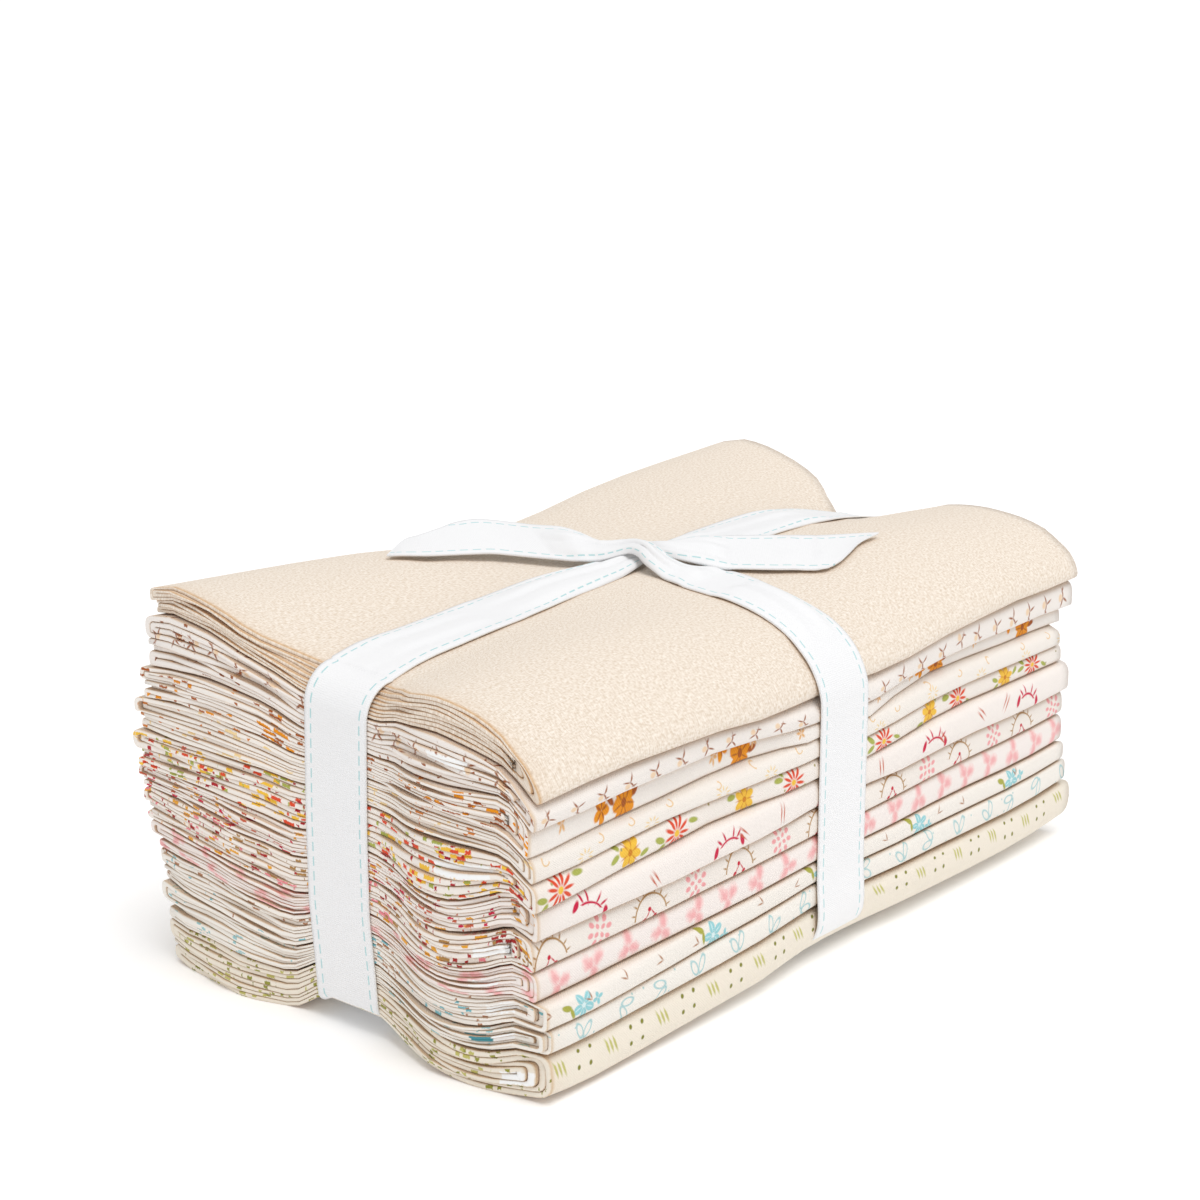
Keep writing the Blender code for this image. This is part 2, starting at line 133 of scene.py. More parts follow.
# Each cloth's thickness from the hidden side to the front, and how far its faces and ends stand out
Cloth = namedtuple(
    "Cloth",
    "name hidden middle lobe front_near front_far front_out hidden_out near_out far_out",
)
CLOTHS = (
    Cloth("cloth_01_oatmeal", 6.5, 5.4, 8.1, 4.6, 8.0, 0.3, -0.5, 0.5, 1.5),
    Cloth("cloth_02_twig", 12.5, 8.0, 10.3, 6.8, 7.4, -0.7, 0.5, 1.5, 0.0),
    Cloth("cloth_03_amber", 8.4, 6.2, 6.0, 4.8, 5.0, -2.4, 2.5, 2.5, -4.0),
    Cloth("cloth_04_straw", 8.5, 6.5, 7.3, 6.8, 4.9, -0.2, 4.5, 2.0, -6.0),
    Cloth("cloth_05_sprig", 10.3, 11.0, 14.0, 6.2, 5.3, -0.5, 5.5, 2.0, -5.8),
    Cloth("cloth_06_branch", 5.7, 6.6, 7.1, 7.6, 9.0, 1.8, 5.0, 1.5, -3.6),
    Cloth("cloth_07_wreath", 8.2, 8.7, 9.3, 7.6, 7.5, 0.3, 3.5, 2.0, -4.6),
    Cloth("cloth_08_blush", 6.8, 4.6, 4.8, 6.8, 8.6, 0.4, 1.5, 1.5, -4.8),
    Cloth("cloth_09_posy", 7.5, 7.4, 8.6, 6.1, 6.0, 1.2, 0.0, 1.0, -4.2),
    Cloth("cloth_10_aqua", 9.8, 4.8, 5.0, 6.2, 7.3, 1.7, -1.0, 1.0, -3.3),
    Cloth("cloth_11_dots", 10.5, 8.4, 9.0, 11.2, 12.0, 2.2, -2.0, 0.5, -0.3),
)

# What the folds at the front add to the first cloths' thickness, at places along the bundle
FRONT_STATIONS = (-105.0, -75.0, -10.0, 40.0, 112.0)
FRONT_EXTRA = ((1.2, 1.5, 1.4, -0.4, 0.0), (-2.7, -1.5, -3.0, -1.2, 0.0), (2.5, 2.4, -0.8, -0.6, 0.0),
               (-1.4, -2.7, -0.2, 0.0, 0.0))

# Order of the layers along the strip, from one cut edge to the other
STRIP = (5, 4, 1, 8, 7, 2, 3, 6)
OPEN_END_BACK = {5: 2.0, 6: 3.2}
Nest = namedtuple("Nest", "side first last back")
NESTS = (Nest(-1, 1, 8, 0.0), Nest(1, 1, 4, 0.0), Nest(1, 7, 8, 1.5))
SLACKS = (6.0, 5.0, 7.0, 3.5, 6.5, 5.0, 8.0, 3.5, 6.5, 4.0, 5.0)
CORNER_TUCK = (2.0, 0.3, 0.2, 1.2, 0.3, 2.6, 2.0, 1.8, -0.8, 0.2, 0.8)
TUCK_RUN = 60.0
Fold = namedtuple("Fold", "power reach lean")
TOP_FOLD = Fold(2.1, 1.2, 0.05)
FRONT_FOLD = Fold(3.3, 0.55, 0.3)
BOTTOM_FOLD = Fold(2.8, 0.72, 0.15)
HIDDEN_FOLD = Fold(2.9, 1.0, 0.0)
TOP_ROUND = 8.0
GAP = 0.03

WIDTH_STATIONS = (-55.5, -52.5, -49.0, -45.5, -42.0, -38.5, -35.0, -31.5, -28.5, -25.5, -22.5, -19.5,
                  -16.5, -13.8, -11.5, -6.0, 0.0, 6.0, 10.5, 13.0, 16.0, 19.5, 23.5, 28.0, 33.0, 38.5,
                  44.0, 49.5, 54.0)
ARC_POINTS = 11
LENGTH_SHARES = (0.0, 0.005, 0.03, 0.07, 0.13, 0.2, 0.27, 0.34, 0.4, 0.44, 0.48, 0.52, 0.56, 0.62,
                 0.7, 0.78, 0.86, 0.93, 0.98, 1.0)
END_ARC_POINTS = 5
END_REACH = 0.34
END_SQUARE = 1.5
# Painted crease shade: weights on the first two places of each layer's face, where it meets the rounded
# near end
EDGE_CREASE_SHADE = (1.0, 0.12)
SLOT = 0.07
SLOT_BACK = 1.3

# Wobbles: how strong each is, where it fades out under the ribbon, and its fixed seed
CLOTH_UNEVEN = 0.07
CLOTH_FREE = (12.0, 24.0)
FRONT_FREE = (-60.0, -48.0)
LAYER_UNEVEN = 0.3
SIDE_WOBBLE = 0.28
SIDE_FREE = (12.0, 30.0)
END_WOBBLE = (0.55, 0.5)
END_FREE = (8.0, 20.0)
ROUND_FREE = (10.0, 28.0)
PRINT_SLIDE = 0.11
CLOTH_SEED = 40
LAYER_SEED = 200
SIDE_SEED = 400
END_SEED = 500
SLIDE_SEED = 700
HIDDEN_SLACK = 1.5
SLACK_POWER = 1.5


def waves(seed, count, low, high):
    """Fixed smooth wobble of two places, between about -1 and 1. Wavelengths are in mm."""
    rng = np.random.RandomState(seed)
    length = np.exp(rng.uniform(math.log(low), math.log(high), count))
    turn = rng.uniform(0, 2 * math.pi, count)
    phase = rng.uniform(0, 2 * math.pi, count)
    kx = 2 * math.pi * np.cos(turn) / length
    ky = 2 * math.pi * np.sin(turn) / length

    def value(a, b=0.0):
        total = 0.0
        for i in range(count):
            total = total + np.sin(a * kx[i] + b * ky[i] + phase[i])
        return total / math.sqrt(count)

    return value


def cubic(t, start, end, leave, arrive):
    """Cubic from start to end, as t goes from 0 to 1, with given slopes at both."""
    return (start * (1 + 2 * t) * (1 - t) ** 2 + leave * t * (1 - t) ** 2
            + end * t * t * (3 - 2 * t) + arrive * t * t * (t - 1))


def hermite(places, values, at):
    """Smooth curve through values at places that never overshoots them. Values are (places, points)."""
    at = np.clip(at, places[0], places[-1])
    step = np.diff(places)[:, None]
    slope = np.diff(values, axis=0) / step
    tangent = np.zeros_like(values)
    tangent[0] = slope[0]
    tangent[-1] = slope[-1]
    before, after = slope[:-1], slope[1:]
    same = before * after > 0
    w1 = 2 * step[1:] + step[:-1]
    w2 = step[1:] + 2 * step[:-1]
    safe = np.where(same, w1 / np.where(same, before, 1.0) + w2 / np.where(same, after, 1.0), 1.0)
    tangent[1:-1] = np.where(same, (w1 + w2) / safe, 0.0)
    k = np.clip(np.searchsorted(places, at, side="right") - 1, 0, len(places) - 2)
    points = np.arange(len(at))
    h = step[k, 0]
    t = (at - places[k]) / h
    leave, arrive = tangent[k, points] * h, tangent[k + 1, points] * h
    return cubic(t, values[k, points], values[k + 1, points], leave, arrive)


def smooth(at, start, end):
    """Eased step from 0 at the start to 1 at the end."""
    t = np.clip((at - start) / (end - start), 0.0, 1.0)
    return t * t * (3 - 2 * t)


def dent(offset):
    """1 under a ribbon, fading to 0 where the cloth is free of it."""
    return 1.0 - smooth(np.abs(offset), DENT_FLAT, DENT_FADE)


def top_height(x, y):
    """Height of the top of the stack, pulled down by the ribbon at the near end."""
    rows = []
    for k in range(len(LENGTH_STATIONS)):
        column = np.repeat(TOP_HEIGHTS[:, k][:, None], len(y), axis=1)
        rows.append(hermite(ACROSS, column, y))
    height = hermite(LENGTH_STATIONS, np.array(rows), x)
    under = 1.0 - smooth(np.abs(y), *PULL_BAND)
    return height - under * (1.0 - smooth(x, PRESSED_NEAR, PRESSED_NEAR + PULL_RUN))


def bottom_height(x, y):
    """Height of the underside: pressed up by both runs of the ribbon and rounded up at its sides."""
    inwards = np.clip((y + FRONT_EDGE[0]) / UNDER_RUN, 0.0, 1.0) ** UNDER_POWER
    under_end = (1 - smooth(y, *UNDER_BAND)) * inwards
    front = smooth(-y, *FRONT_EDGE)
    pressed = BOTTOM_DENT * np.maximum(dent(x - TIE_X) * (1 - front), under_end)
    past = np.maximum(y - HIDDEN_EDGE_START, 0.0)
    hidden = EDGE_LIFT * np.minimum(past / EDGE_RUN, 1.0) ** 2
    outwards = np.clip((-y - FRONT_EDGE[0]) / FRONT_RUN, 0.0, FRONT_MOST) ** 2
    return np.maximum(np.maximum(pressed, hidden), np.interp(x, *FRONT_LIFT) * outwards)


CLOTH_WAVES = [waves(CLOTH_SEED + i, 5, 45.0, 130.0) for i in range(len(CLOTHS))]


def thicknesses(x, y):
    """Nominal thickness of all the folded cloths at places, as (cloths, points)."""
    rows = []
    along = np.clip((x - NEAR_END) / (FAR_END - NEAR_END), 0, 1)
    for i, cloth in enumerate(CLOTHS):
        front = cloth.front_near + along * (cloth.front_far - cloth.front_near)
        if i < len(FRONT_EXTRA):
            front = front + np.interp(x, FRONT_STATIONS, FRONT_EXTRA[i])
        fixed = np.ones_like(y)
        knots = np.array((front, cloth.lobe * fixed, cloth.middle * fixed, cloth.hidden * fixed))
        free = smooth(np.abs(y), *CLOTH_FREE) * smooth(y, *FRONT_FREE)
        uneven = 1 + CLOTH_UNEVEN * free * CLOTH_WAVES[i](x, y)
        rows.append(hermite(THICKNESS_PLACES, knots, y) * uneven)
    return np.array(rows)


def stack_height(index, x, y, depth):
    """Height in a cloth. Depth runs from 0 on its top to LAYERS on its underside."""
    parts = thicknesses(x, y)
    total = parts.sum(axis=0)
    top = parts[:index].sum(axis=0)
    bottom = top + parts[index]
    top = top + (CLOTH_GAP / 2 if index > 0 else 0.0)
    bottom = bottom - (CLOTH_GAP / 2 if index < len(CLOTHS) - 1 else 0.0)
    share = (top + depth / LAYERS * (bottom - top)) / total
    floor = bottom_height(x, y)
    return floor + (top_height(x, y) - floor) * (1.0 - share)


def layer_depth(index, x, y, depth):
    """Depth with the layers made unequally thick, as loosely folded cloth is."""
    weights = [1.0 + LAYER_UNEVEN * wave(x, y) for wave in LAYER_WAVES[index]]
    edges = np.concatenate((np.zeros((1, len(x))), np.cumsum(weights, axis=0)))
    edges = edges / edges[-1] * LAYERS
    k = np.clip(np.floor(depth).astype(int), 0, LAYERS - 1)
    points = np.arange(len(x))
    return edges[k, points] + (depth - k) * (edges[k + 1, points] - edges[k, points])


LAYER_WAVES = [[waves(LAYER_SEED + 10 * i + k, 4, 32.0, 120.0) for k in range(LAYERS)]
               for i in range(len(CLOTHS))]
SIDE_WAVES = [waves(SIDE_SEED + i, 4, 30.0, 120.0) for i in range(len(CLOTHS))]
END_WAVES = [waves(END_SEED + i, 5, 22.0, 110.0) for i in range(len(CLOTHS))]


def side_place(index, x, side):
    """Where the long face of a cloth lies, pressed back under the crosswise ribbon."""
    cloth = CLOTHS[index]
    free_of = 1.0 - dent(x - TIE_X)
    if side < 0:
        tuck = CORNER_TUCK[index] * (1.0 - smooth(x, NEAR_END, NEAR_END + TUCK_RUN))
        pressed = PRESSED_FRONT + (TOP_PRESSED_BACK if index == 0 else 0.0)
        free = FRONT_SIDE - cloth.front_out + tuck
    else:
        pressed, free = PRESSED_HIDDEN, HIDDEN_SIDE + cloth.hidden_out
    wobble = SIDE_WOBBLE * SIDE_WAVES[index](x, 40.0 * side) * smooth(np.abs(x - TIE_X), *SIDE_FREE)
    return pressed + (free - pressed) * free_of + wobble


def end_place(index, y, near):
    """Where the end of a cloth lies, pressed back under the lengthwise ribbon."""
    cloth = CLOTHS[index]
    bulge = END_BULGE * np.abs(np.sin(math.pi * y / LOBE_WIDTH))
    free = 1.0 - dent(y)
    if near:
        return PRESSED_NEAR - (cloth.near_out + bulge) * free
    return PRESSED_FAR + (FAR_END - PRESSED_FAR + cloth.far_out - bulge) * free


def fold_profile(half, nest, thick, fold, slack):
    """Points round a fold, upper to lower, as (inset from its tip, level from its middle)."""
    widest = (nest.last - nest.first + 1) / 2
    reach = thick * widest / LAYERS * fold.reach
    back = nest.back + slack * (1 - half / widest) ** SLACK_POWER
    points = []
    for i in range(ARC_POINTS):
        turn = math.pi * (i / (ARC_POINTS - 1) - 0.5)
        out = max(math.cos(turn), 0.0) ** (2 / fold.power)
        rise = math.copysign(abs(math.sin(turn)) ** (2 / fold.power), turn)
        level = fold.lean + (1 - math.copysign(fold.lean, turn)) * rise
        points.append((back + reach * (1 - half / widest * out), half * level))
    return points


def strip_rows(cloth):
    """The folded strip as rows of (side, left place, left depth, right place, right depth).

    Side is 0 for a place across the stack, -1 or 1 for a place counted from the front or the
    hidden face. Left and right are the two outer faces of the doubled strip.
    """
    rows = []
    back = OPEN_END_BACK[STRIP[0]]
    rows.append((1, -back, STRIP[0] - 1 + GAP, -back, STRIP[0] - GAP))
    for i, layer in enumerate(STRIP):
        towards_front = i % 2 == 0
        upper, lower = layer - 1 + GAP, layer - GAP
        left, right = (upper, lower) if towards_front else (lower, upper)
        for y in sorted(WIDTH_STATIONS, reverse=towards_front):
            rows.append((0, y, left, y, right))
        if i == len(STRIP) - 1:
            break
        following = STRIP[i + 1]
        first, last = min(layer, following), max(layer, following)
        side = -1 if towards_front else 1
        nest = next(n for n in NESTS if n.side == side and n.first <= first and last <= n.last)
        middle = (first + last - 1) / 2
        half = (last - first + 1) / 2
        thick = (cloth.front_near + cloth.front_far) / 2 if side < 0 else cloth.hidden
        fold = HIDDEN_FOLD
        if side < 0:
            fold = {CLOTHS[0]: TOP_FOLD, CLOTHS[-1]: BOTTOM_FOLD}.get(cloth, FRONT_FOLD)
        slack = SLACKS[CLOTHS.index(cloth)] if side < 0 else HIDDEN_SLACK
        outer = fold_profile(half - GAP, nest, thick, fold, slack)
        inner = fold_profile(half - 1 + GAP, nest, thick, fold, slack)
        downward = following > layer
        if not downward:
            outer, inner = outer[::-1], inner[::-1]
        left_arc, right_arc = (outer, inner) if towards_front == downward else (inner, outer)
        for (left_in, left_up), (right_in, right_up) in zip(left_arc, right_arc):
            rows.append((side, -side * left_in, middle + left_up, -side * right_in, middle + right_up))
    back = OPEN_END_BACK[STRIP[-1]]
    rows.append((1, -back, STRIP[-1] - GAP, -back, STRIP[-1] - 1 + GAP))
    return np.array(rows, float)


def ring_places():
    """The doubled strip's closed outline seen along its path.

    Each place is (share of the length from the near fold, reach back from the fold's tip as a
    part of its radius, place through the thickness, weight of the painted crease shade, whether it is
    on the near fold).
    """
    # Places next to the near end, and the top and bottom of its arc, carry painted crease shade: a dark
    # line between layers
    flat = [(s, EDGE_CREASE_SHADE[k] if k < len(EDGE_CREASE_SHADE) else 0.0) for k, s in enumerate(LENGTH_SHARES)]
    places = [(s, 1.0, -1.0, shade_weight, 0.0) for s, shade_weight in flat[::-1]]
    for i in range(1, END_ARC_POINTS + 1):
        turn = math.pi * (i / (END_ARC_POINTS + 1) - 0.5)
        out = math.cos(turn) ** (1 / END_SQUARE)
        through = 0.0
        if i != (END_ARC_POINTS + 1) / 2:
            through = math.copysign(abs(math.sin(turn)) ** (1 / END_SQUARE), turn)
        places.append((0.0, 1.0 - out, through, abs(through) ** 8, 1.0))
    places += [(s, 1.0, 1.0, shade_weight, 0.0) for s, shade_weight in flat]
    places += [(s, SLOT_BACK, SLOT, 0.0, 0.0) for s in LENGTH_SHARES[::-1]]
    places += [(s, SLOT_BACK, -SLOT, 0.0, 0.0) for s in LENGTH_SHARES]
    return places


def add_mesh(name, vertices, faces, maps, values=None):
    """Mesh object from design millimetres, with its UV maps and its number attributes."""
    mesh = bpy.data.meshes.new(name)
    mesh.from_pydata((np.asarray(vertices) + FOOTPRINT_SHIFT) * MM, [], faces)
    loops = np.empty(len(mesh.loops), dtype=np.int32)
    mesh.loops.foreach_get("vertex_index", loops)
    for key, uv in maps.items():
        layer = mesh.uv_layers.new(name=key)
        layer.data.foreach_set("uv", np.asarray(uv, dtype=np.float32)[loops].ravel())
    for key, value in (values or {}).items():
        attribute = mesh.attributes.new(key, "FLOAT", "POINT")
        attribute.data.foreach_set("value", np.asarray(value, dtype=np.float32))
    mesh.polygons.foreach_set("use_smooth", [True] * len(mesh.polygons))
    mesh.update()
    obj = bpy.data.objects.new(name, mesh)
    bpy.context.scene.collection.objects.link(obj)
    return obj


def make_cloth(index):
    """One folded cut: a doubled sheet that runs back and forth through its layers."""
    cloth = CLOTHS[index]
    rows = strip_rows(cloth)
    ring = ring_places()
    count, size = len(rows), len(ring)
    side = rows[:, 0]
    middle_y = (rows[:, 1] + rows[:, 3]) / 2
    for value in (-1, 1):
        mask = side == value
        middle_y[mask] += side_place(index, np.full(mask.sum(), -60.0), value)
    depth_mid = (rows[:, 2] + rows[:, 4]) / 2
    steps = np.hypot(np.diff(middle_y), np.diff(depth_mid) * cloth.front_near / LAYERS)
    path = np.concatenate(([0.0], np.cumsum(steps)))
    path -= path[outer_front_tip(rows)]

    open_face = smooth(np.abs(middle_y), *END_FREE)
    pitch, drop = end_layers(index, middle_y, depth_mid)
    rounded = rounded_back(drop) * (1.0 - smooth(np.abs(middle_y), *ROUND_FREE))
    near = end_place(index, middle_y, True) + rounded
    near = near + END_WOBBLE[0] * END_WAVES[index](path, 0.0) * open_face
    far = end_place(index, middle_y, False) - rounded
    far = far + END_WOBBLE[1] * END_WAVES[index](path, 300.0) * open_face
    reach = END_REACH * pitch
    draw = np.random.RandomState(SLIDE_SEED + index).uniform(-PRINT_SLIDE, PRINT_SLIDE, LAYERS + 1)
    slide = draw[np.clip(np.round(depth_mid).astype(int), 0, LAYERS)]

    vertices = np.empty((count, size, 3))
    uv = np.empty((count, size, 2))
    end_uv = np.empty((count, size, 2))
    # Weight of the painted crease shade at each point, for the shader
    crease = np.empty((count, size))
    on_end = np.empty((count, size))
    for q, (share, back, through, shade_weight, at_end) in enumerate(ring):
        start = near + reach * back
        x = np.minimum(start + share * (far - near - reach), far)
        if abs(through) < 0.5:
            x = np.where(share >= 1.0, far - 0.05, x)
        weight = (through + 1) / 2
        depth = rows[:, 2] * (1 - weight) + rows[:, 4] * weight
        y = rows[:, 1] * (1 - weight) + rows[:, 3] * weight
        for value in (-1, 1):
            mask = side == value
            y[mask] += side_place(index, x[mask], value)
        z = stack_height(index, x, y, layer_depth(index, x, y, depth))
        vertices[:, q] = np.stack((x, y, z), axis=1)
        uv[:, q, 0] = path / 10
        uv[:, q, 1] = math.copysign(1, through) * (x - near) / 10
        end_uv[:, q, 0] = -y / 10 + slide
        end_uv[:, q, 1] = (LAYERS / 2 - depth) * pitch / 10
        crease[:, q] = shade_weight
        on_end[:, q] = at_end
    faces = []
    for i in range(count - 1):
        for q in range(size):
            n = (q + 1) % size
            faces.append((i * size + q, i * size + n, (i + 1) * size + n, (i + 1) * size + q))
    for row, flip in ((0, True), (count - 1, False)):
        for face in cap_faces(len(LENGTH_SHARES)):
            loop = [row * size + q for q in face]
            faces.append(loop if flip else loop[::-1])
    maps = {"cloth": uv.reshape(-1, 2), "end": end_uv.reshape(-1, 2)}
    values = {"crease": crease.ravel(), "on_end": on_end.ravel()}
    return add_mesh(cloth.name + "_sheet", vertices.reshape(-1, 3), faces, maps, values)


def end_layers(index, y, depth):
    """Thickness of a layer at the near end, and how far below the top of the stack a depth lies."""
    x = np.full(len(y), NEAR_END)
    parts = thicknesses(x, y)
    height = top_height(x, y) - bottom_height(x, y)
    pitch = parts[index] / parts.sum(axis=0) * height / LAYERS
    return pitch, top_height(x, y) - stack_height(index, x, y, depth)


def rounded_back(drop):
    """How far the ends of the upper layers are pulled in where the ribbon bends over them."""
    rise = np.clip(1.0 - drop / TOP_ROUND, 0.0, 1.0)
    return TOP_ROUND * (1.0 - np.sqrt(1.0 - rise ** 2))


def outer_front_tip(rows):
    """Row at the tip of the outermost front fold."""
    starts = [i for i in range(len(rows)) if rows[i, 0] < 0]
    groups = [starts[i:i + ARC_POINTS] for i in range(0, len(starts), ARC_POINTS)]
    outer = max(groups, key=lambda g: abs(rows[g[0], 2] - rows[g[-1], 2]))
    return outer[ARC_POINTS // 2]


def cap_faces(shares):
    """Quads between the outer outline and the slot at a cut edge of the strip."""
    faces = []
    right = shares + END_ARC_POINTS
    slot_right = right + shares
    slot_left = slot_right + shares
    for j in range(shares - 1):
        for outline, slot in ((0, slot_left), (right, slot_right)):
            back = slot + shares - 1 - j
            faces.append((outline + j + 1, outline + j, back, back - 1))
    arc = list(range(shares - 1, right + 1))
    faces.append(arc[::-1] + [slot_left, slot_right + shares - 1])
    return faces


# Ribbon
RIBBON_WIDTH = 20.0
RIBBON_THICK = 0.45
RIBBON_REST = 0.2
RIBBON_COLUMNS = 25
RIBBON_STEP = 1.3
KNOT_X = -6.0
END_LEAN = ((0.0, 0.12, 0.3, 0.55, 0.8, 1.0), (-1.4, -0.6, 0.9, 1.0, 0.5, 0.0))
END_CORNER = 2.2
PLEATS = 2.5
CROWN = 0.3
CROWN_MOST = 1.7
PLEAT = 0.08
PLEAT_MOST = 0.3
PLEAT_DRIFT = 0.012
KNOT_LIFT = 1.0
KNOT_REACH = (2.0, 15.0)
UNDER_ROWS = 70
CORNER_ROWS = (9, 30, 6)
END_HEIGHT = 80.0
CROSSWISE_START = 70.0


def curve_through(first, second, step):
    """Two smooth curves through pairs of 3-D control points, at about even steps."""
    points = np.concatenate((np.asarray(first, float), np.asarray(second, float)), axis=1)
    ends = np.concatenate((2 * points[:1] - points[1:2], points, 2 * points[-1:] - points[-2:-1]))
    curve = []
    for k in range(1, len(ends) - 2):
        p0, p1, p2, p3 = ends[k - 1:k + 3]
        count = max(int(math.ceil(np.linalg.norm((p2 - p1)[:3]) / step)), 2)
        gaps = (p1 - p0, p2 - p1, p3 - p2)
        t01, t12, t23 = (max(np.linalg.norm(gap[:3]), 1e-3) ** 0.5 for gap in gaps)
        m1 = (p1 - p0) / t01 - (p2 - p0) / (t01 + t12) + (p2 - p1) / t12
        m2 = (p2 - p1) / t12 - (p3 - p1) / (t12 + t23) + (p3 - p2) / t23
        for i in range(count):
            curve.append(cubic(i / count, p1, p2, m1 * t12, m2 * t12))
    curve.append(points[-1])
    curve = np.array(curve)
    return curve[:, :3], curve[:, 3:]


def outer_normals(grid, outward):
    """Unit normals of a grid of (along, across) points, on the side that outward points to."""
    normal = np.cross(np.gradient(grid, axis=0), np.gradient(grid, axis=1))
    normal = normal / np.maximum(np.linalg.norm(normal, axis=2, keepdims=True), 1e-9)
    return -normal if (normal * outward).sum(axis=2).mean() < 0 else normal


def lengths_along(points):
    """Length from the first of a row of points to each of them."""
    return np.concatenate(([0.0], np.cumsum(np.linalg.norm(np.diff(points, axis=0), axis=1))))


def band_mesh(grid, outward, start, span=(-RIBBON_WIDTH / 2, RIBBON_WIDTH / 2)):
    """Closed thin band from a grid of (along, across) points, with its UV in centimetres.

    The span is the part of the ribbon's width that each row has.
    """
    rows, columns = grid.shape[:2]
    upper = grid + outer_normals(grid, outward) * RIBBON_THICK
    path = start + lengths_along(grid[:, columns // 2])
    low, high = (np.broadcast_to(value, rows)[:, None] for value in span)
    across = low + (high - low) * np.linspace(0, 1, columns)[None, :]
    uv = np.stack(np.broadcast_arrays(path[:, None] / 10, across / 10), axis=2).reshape(-1, 2)
    vertices = np.concatenate((grid.reshape(-1, 3), upper.reshape(-1, 3)))
    count = rows * columns
    faces = []
    for i in range(rows - 1):
        for j in range(columns - 1):
            a = i * columns + j
            b, c, d = a + 1, a + columns + 1, a + columns
            faces.append((a, b, c, d))
            faces.append((a + count, d + count, c + count, b + count))
    border = list(range(columns - 1))
    border += [i * columns + columns - 1 for i in range(rows - 1)]
    border += [(rows - 1) * columns + j for j in range(columns - 1, 0, -1)]
    border += [i * columns for i in range(rows - 1, 0, -1)]
    for k, a in enumerate(border):
        b = border[(k + 1) % len(border)]
        faces.append((b, a, a + count, b + count))
    return vertices, faces, np.concatenate((uv, uv))


def pleat(share, along, phase):
    """Wavy section of a gathered band, drifting a little along its length."""
    turn = 2 * math.pi * (PLEATS * share + phase + PLEAT_DRIFT * along)
    return np.sin(turn) + 0.35 * np.sin(1.9 * turn + 1.0)


def free_end_span(first, second):
    """Part of the width that each row has: less than all of it along the cut of a free end."""
    width = np.minimum(np.linalg.norm(second - first, axis=1), RIBBON_WIDTH)
    low = np.full(len(width), -RIBBON_WIDTH / 2)
    high = -low
    left, right = first[:, 0] < LEFT_CUT, first[:, 0] > RIGHT_CUT
    high[left] = low[left] + width[left]
    low[right] = high[right] - width[right]
    return low, high


def gather(width, full, along, phase):
    """Height of a band squeezed to a width: a smooth crown with fine pleats on it."""
    share = np.linspace(0, 1, RIBBON_COLUMNS)
    squeeze = width * np.sqrt(np.maximum(full / np.maximum(width, 1.0) - 1.0, 0.0))
    crown = np.minimum(CROWN * squeeze, CROWN_MOST)[:, None] * (1 - (2 * share - 1) ** 2)[None, :]
    fine = np.minimum(PLEAT * squeeze, PLEAT_MOST)[:, None]
    return crown + fine * pleat(share[None, :], along[:, None], phase)


def gathered(first, second, centre, span, phase):
    """Grid between two edge curves, raised where the band is squeezed together."""
    share = np.linspace(0, 1, RIBBON_COLUMNS)[None, :, None]
    grid = first[:, None, :] * (1 - share) + second[:, None, :] * share
    width = np.linalg.norm(second - first, axis=1)
    raised = gather(width, span[1] - span[0], lengths_along(first), phase)
    return grid + outer_normals(grid, grid - centre) * raised[:, :, None]


def end_corner(near, y, floor):
    """Places (x, z) down one end of the stack, with a rounded corner above and below."""
    sign = 1 if near else -1
    edge = (PRESSED_NEAR - RIBBON_REST) if near else (PRESSED_FAR + RIBBON_REST)
    radius = TOP_ROUND + RIBBON_REST
    start = edge + sign * radius
    top = top_height(np.full(len(y), start), y) + RIBBON_REST
    places = []
    for turn in np.linspace(0, math.pi / 2, CORNER_ROWS[0]):
        places.append((np.full(len(y), start - sign * radius * math.sin(turn)),
                       top - radius * (1 - math.cos(turn))))
    low = floor + END_CORNER
    for share in np.linspace(0, 1, CORNER_ROWS[1])[1:-1]:
        places.append((np.full(len(y), edge), (top - radius) * (1 - share) + low * share))
    for turn in np.linspace(0, math.pi / 2, CORNER_ROWS[2]):
        x = edge + sign * END_CORNER * (1 - math.cos(turn))
        places.append((np.full(len(y), x), np.full(len(y), low - END_CORNER * math.sin(turn))))
    return places


# Edges of the lengthwise run seen from above: places along it, and y of either edge there
RUN_EDGES = (
    (-118.0, -106.0, -97.0, -90.0, -83.0, -73.0, -62.0, -51.0, -38.0, -30.0, -21.0, -14.0, -9.0,
     -4.0, 3.0, 10.0, 18.0, 28.0, 44.0, 56.0, 66.0, 80.0, 98.0, 112.0),
    (-10.2, -9.6, -8.9, -8.9, -9.5, -9.8, -10.0, -9.4, -7.9, -7.3, -6.2, -5.2, -4.3,
     -3.8, -4.2, -6.5, -8.6, -9.8, -10.4, -10.8, -12.0, -11.6, -10.5, -10.0),
    (9.8, 10.3, 11.1, 10.8, 10.2, 10.0, 10.1, 10.2, 9.8, 9.1, 7.5, 5.8, 4.3,
     3.8, 4.4, 6.5, 9.4, 10.0, 9.4, 8.6, 8.0, 8.4, 9.6, 10.0),
)


def run_across(x):
    """Places across the lengthwise run, from edge to edge."""
    places, *edges = RUN_EDGES
    low, high = (np.interp(x, places, edge) for edge in edges)
    return low + (high - low) * np.linspace(0, 1, RIBBON_COLUMNS)


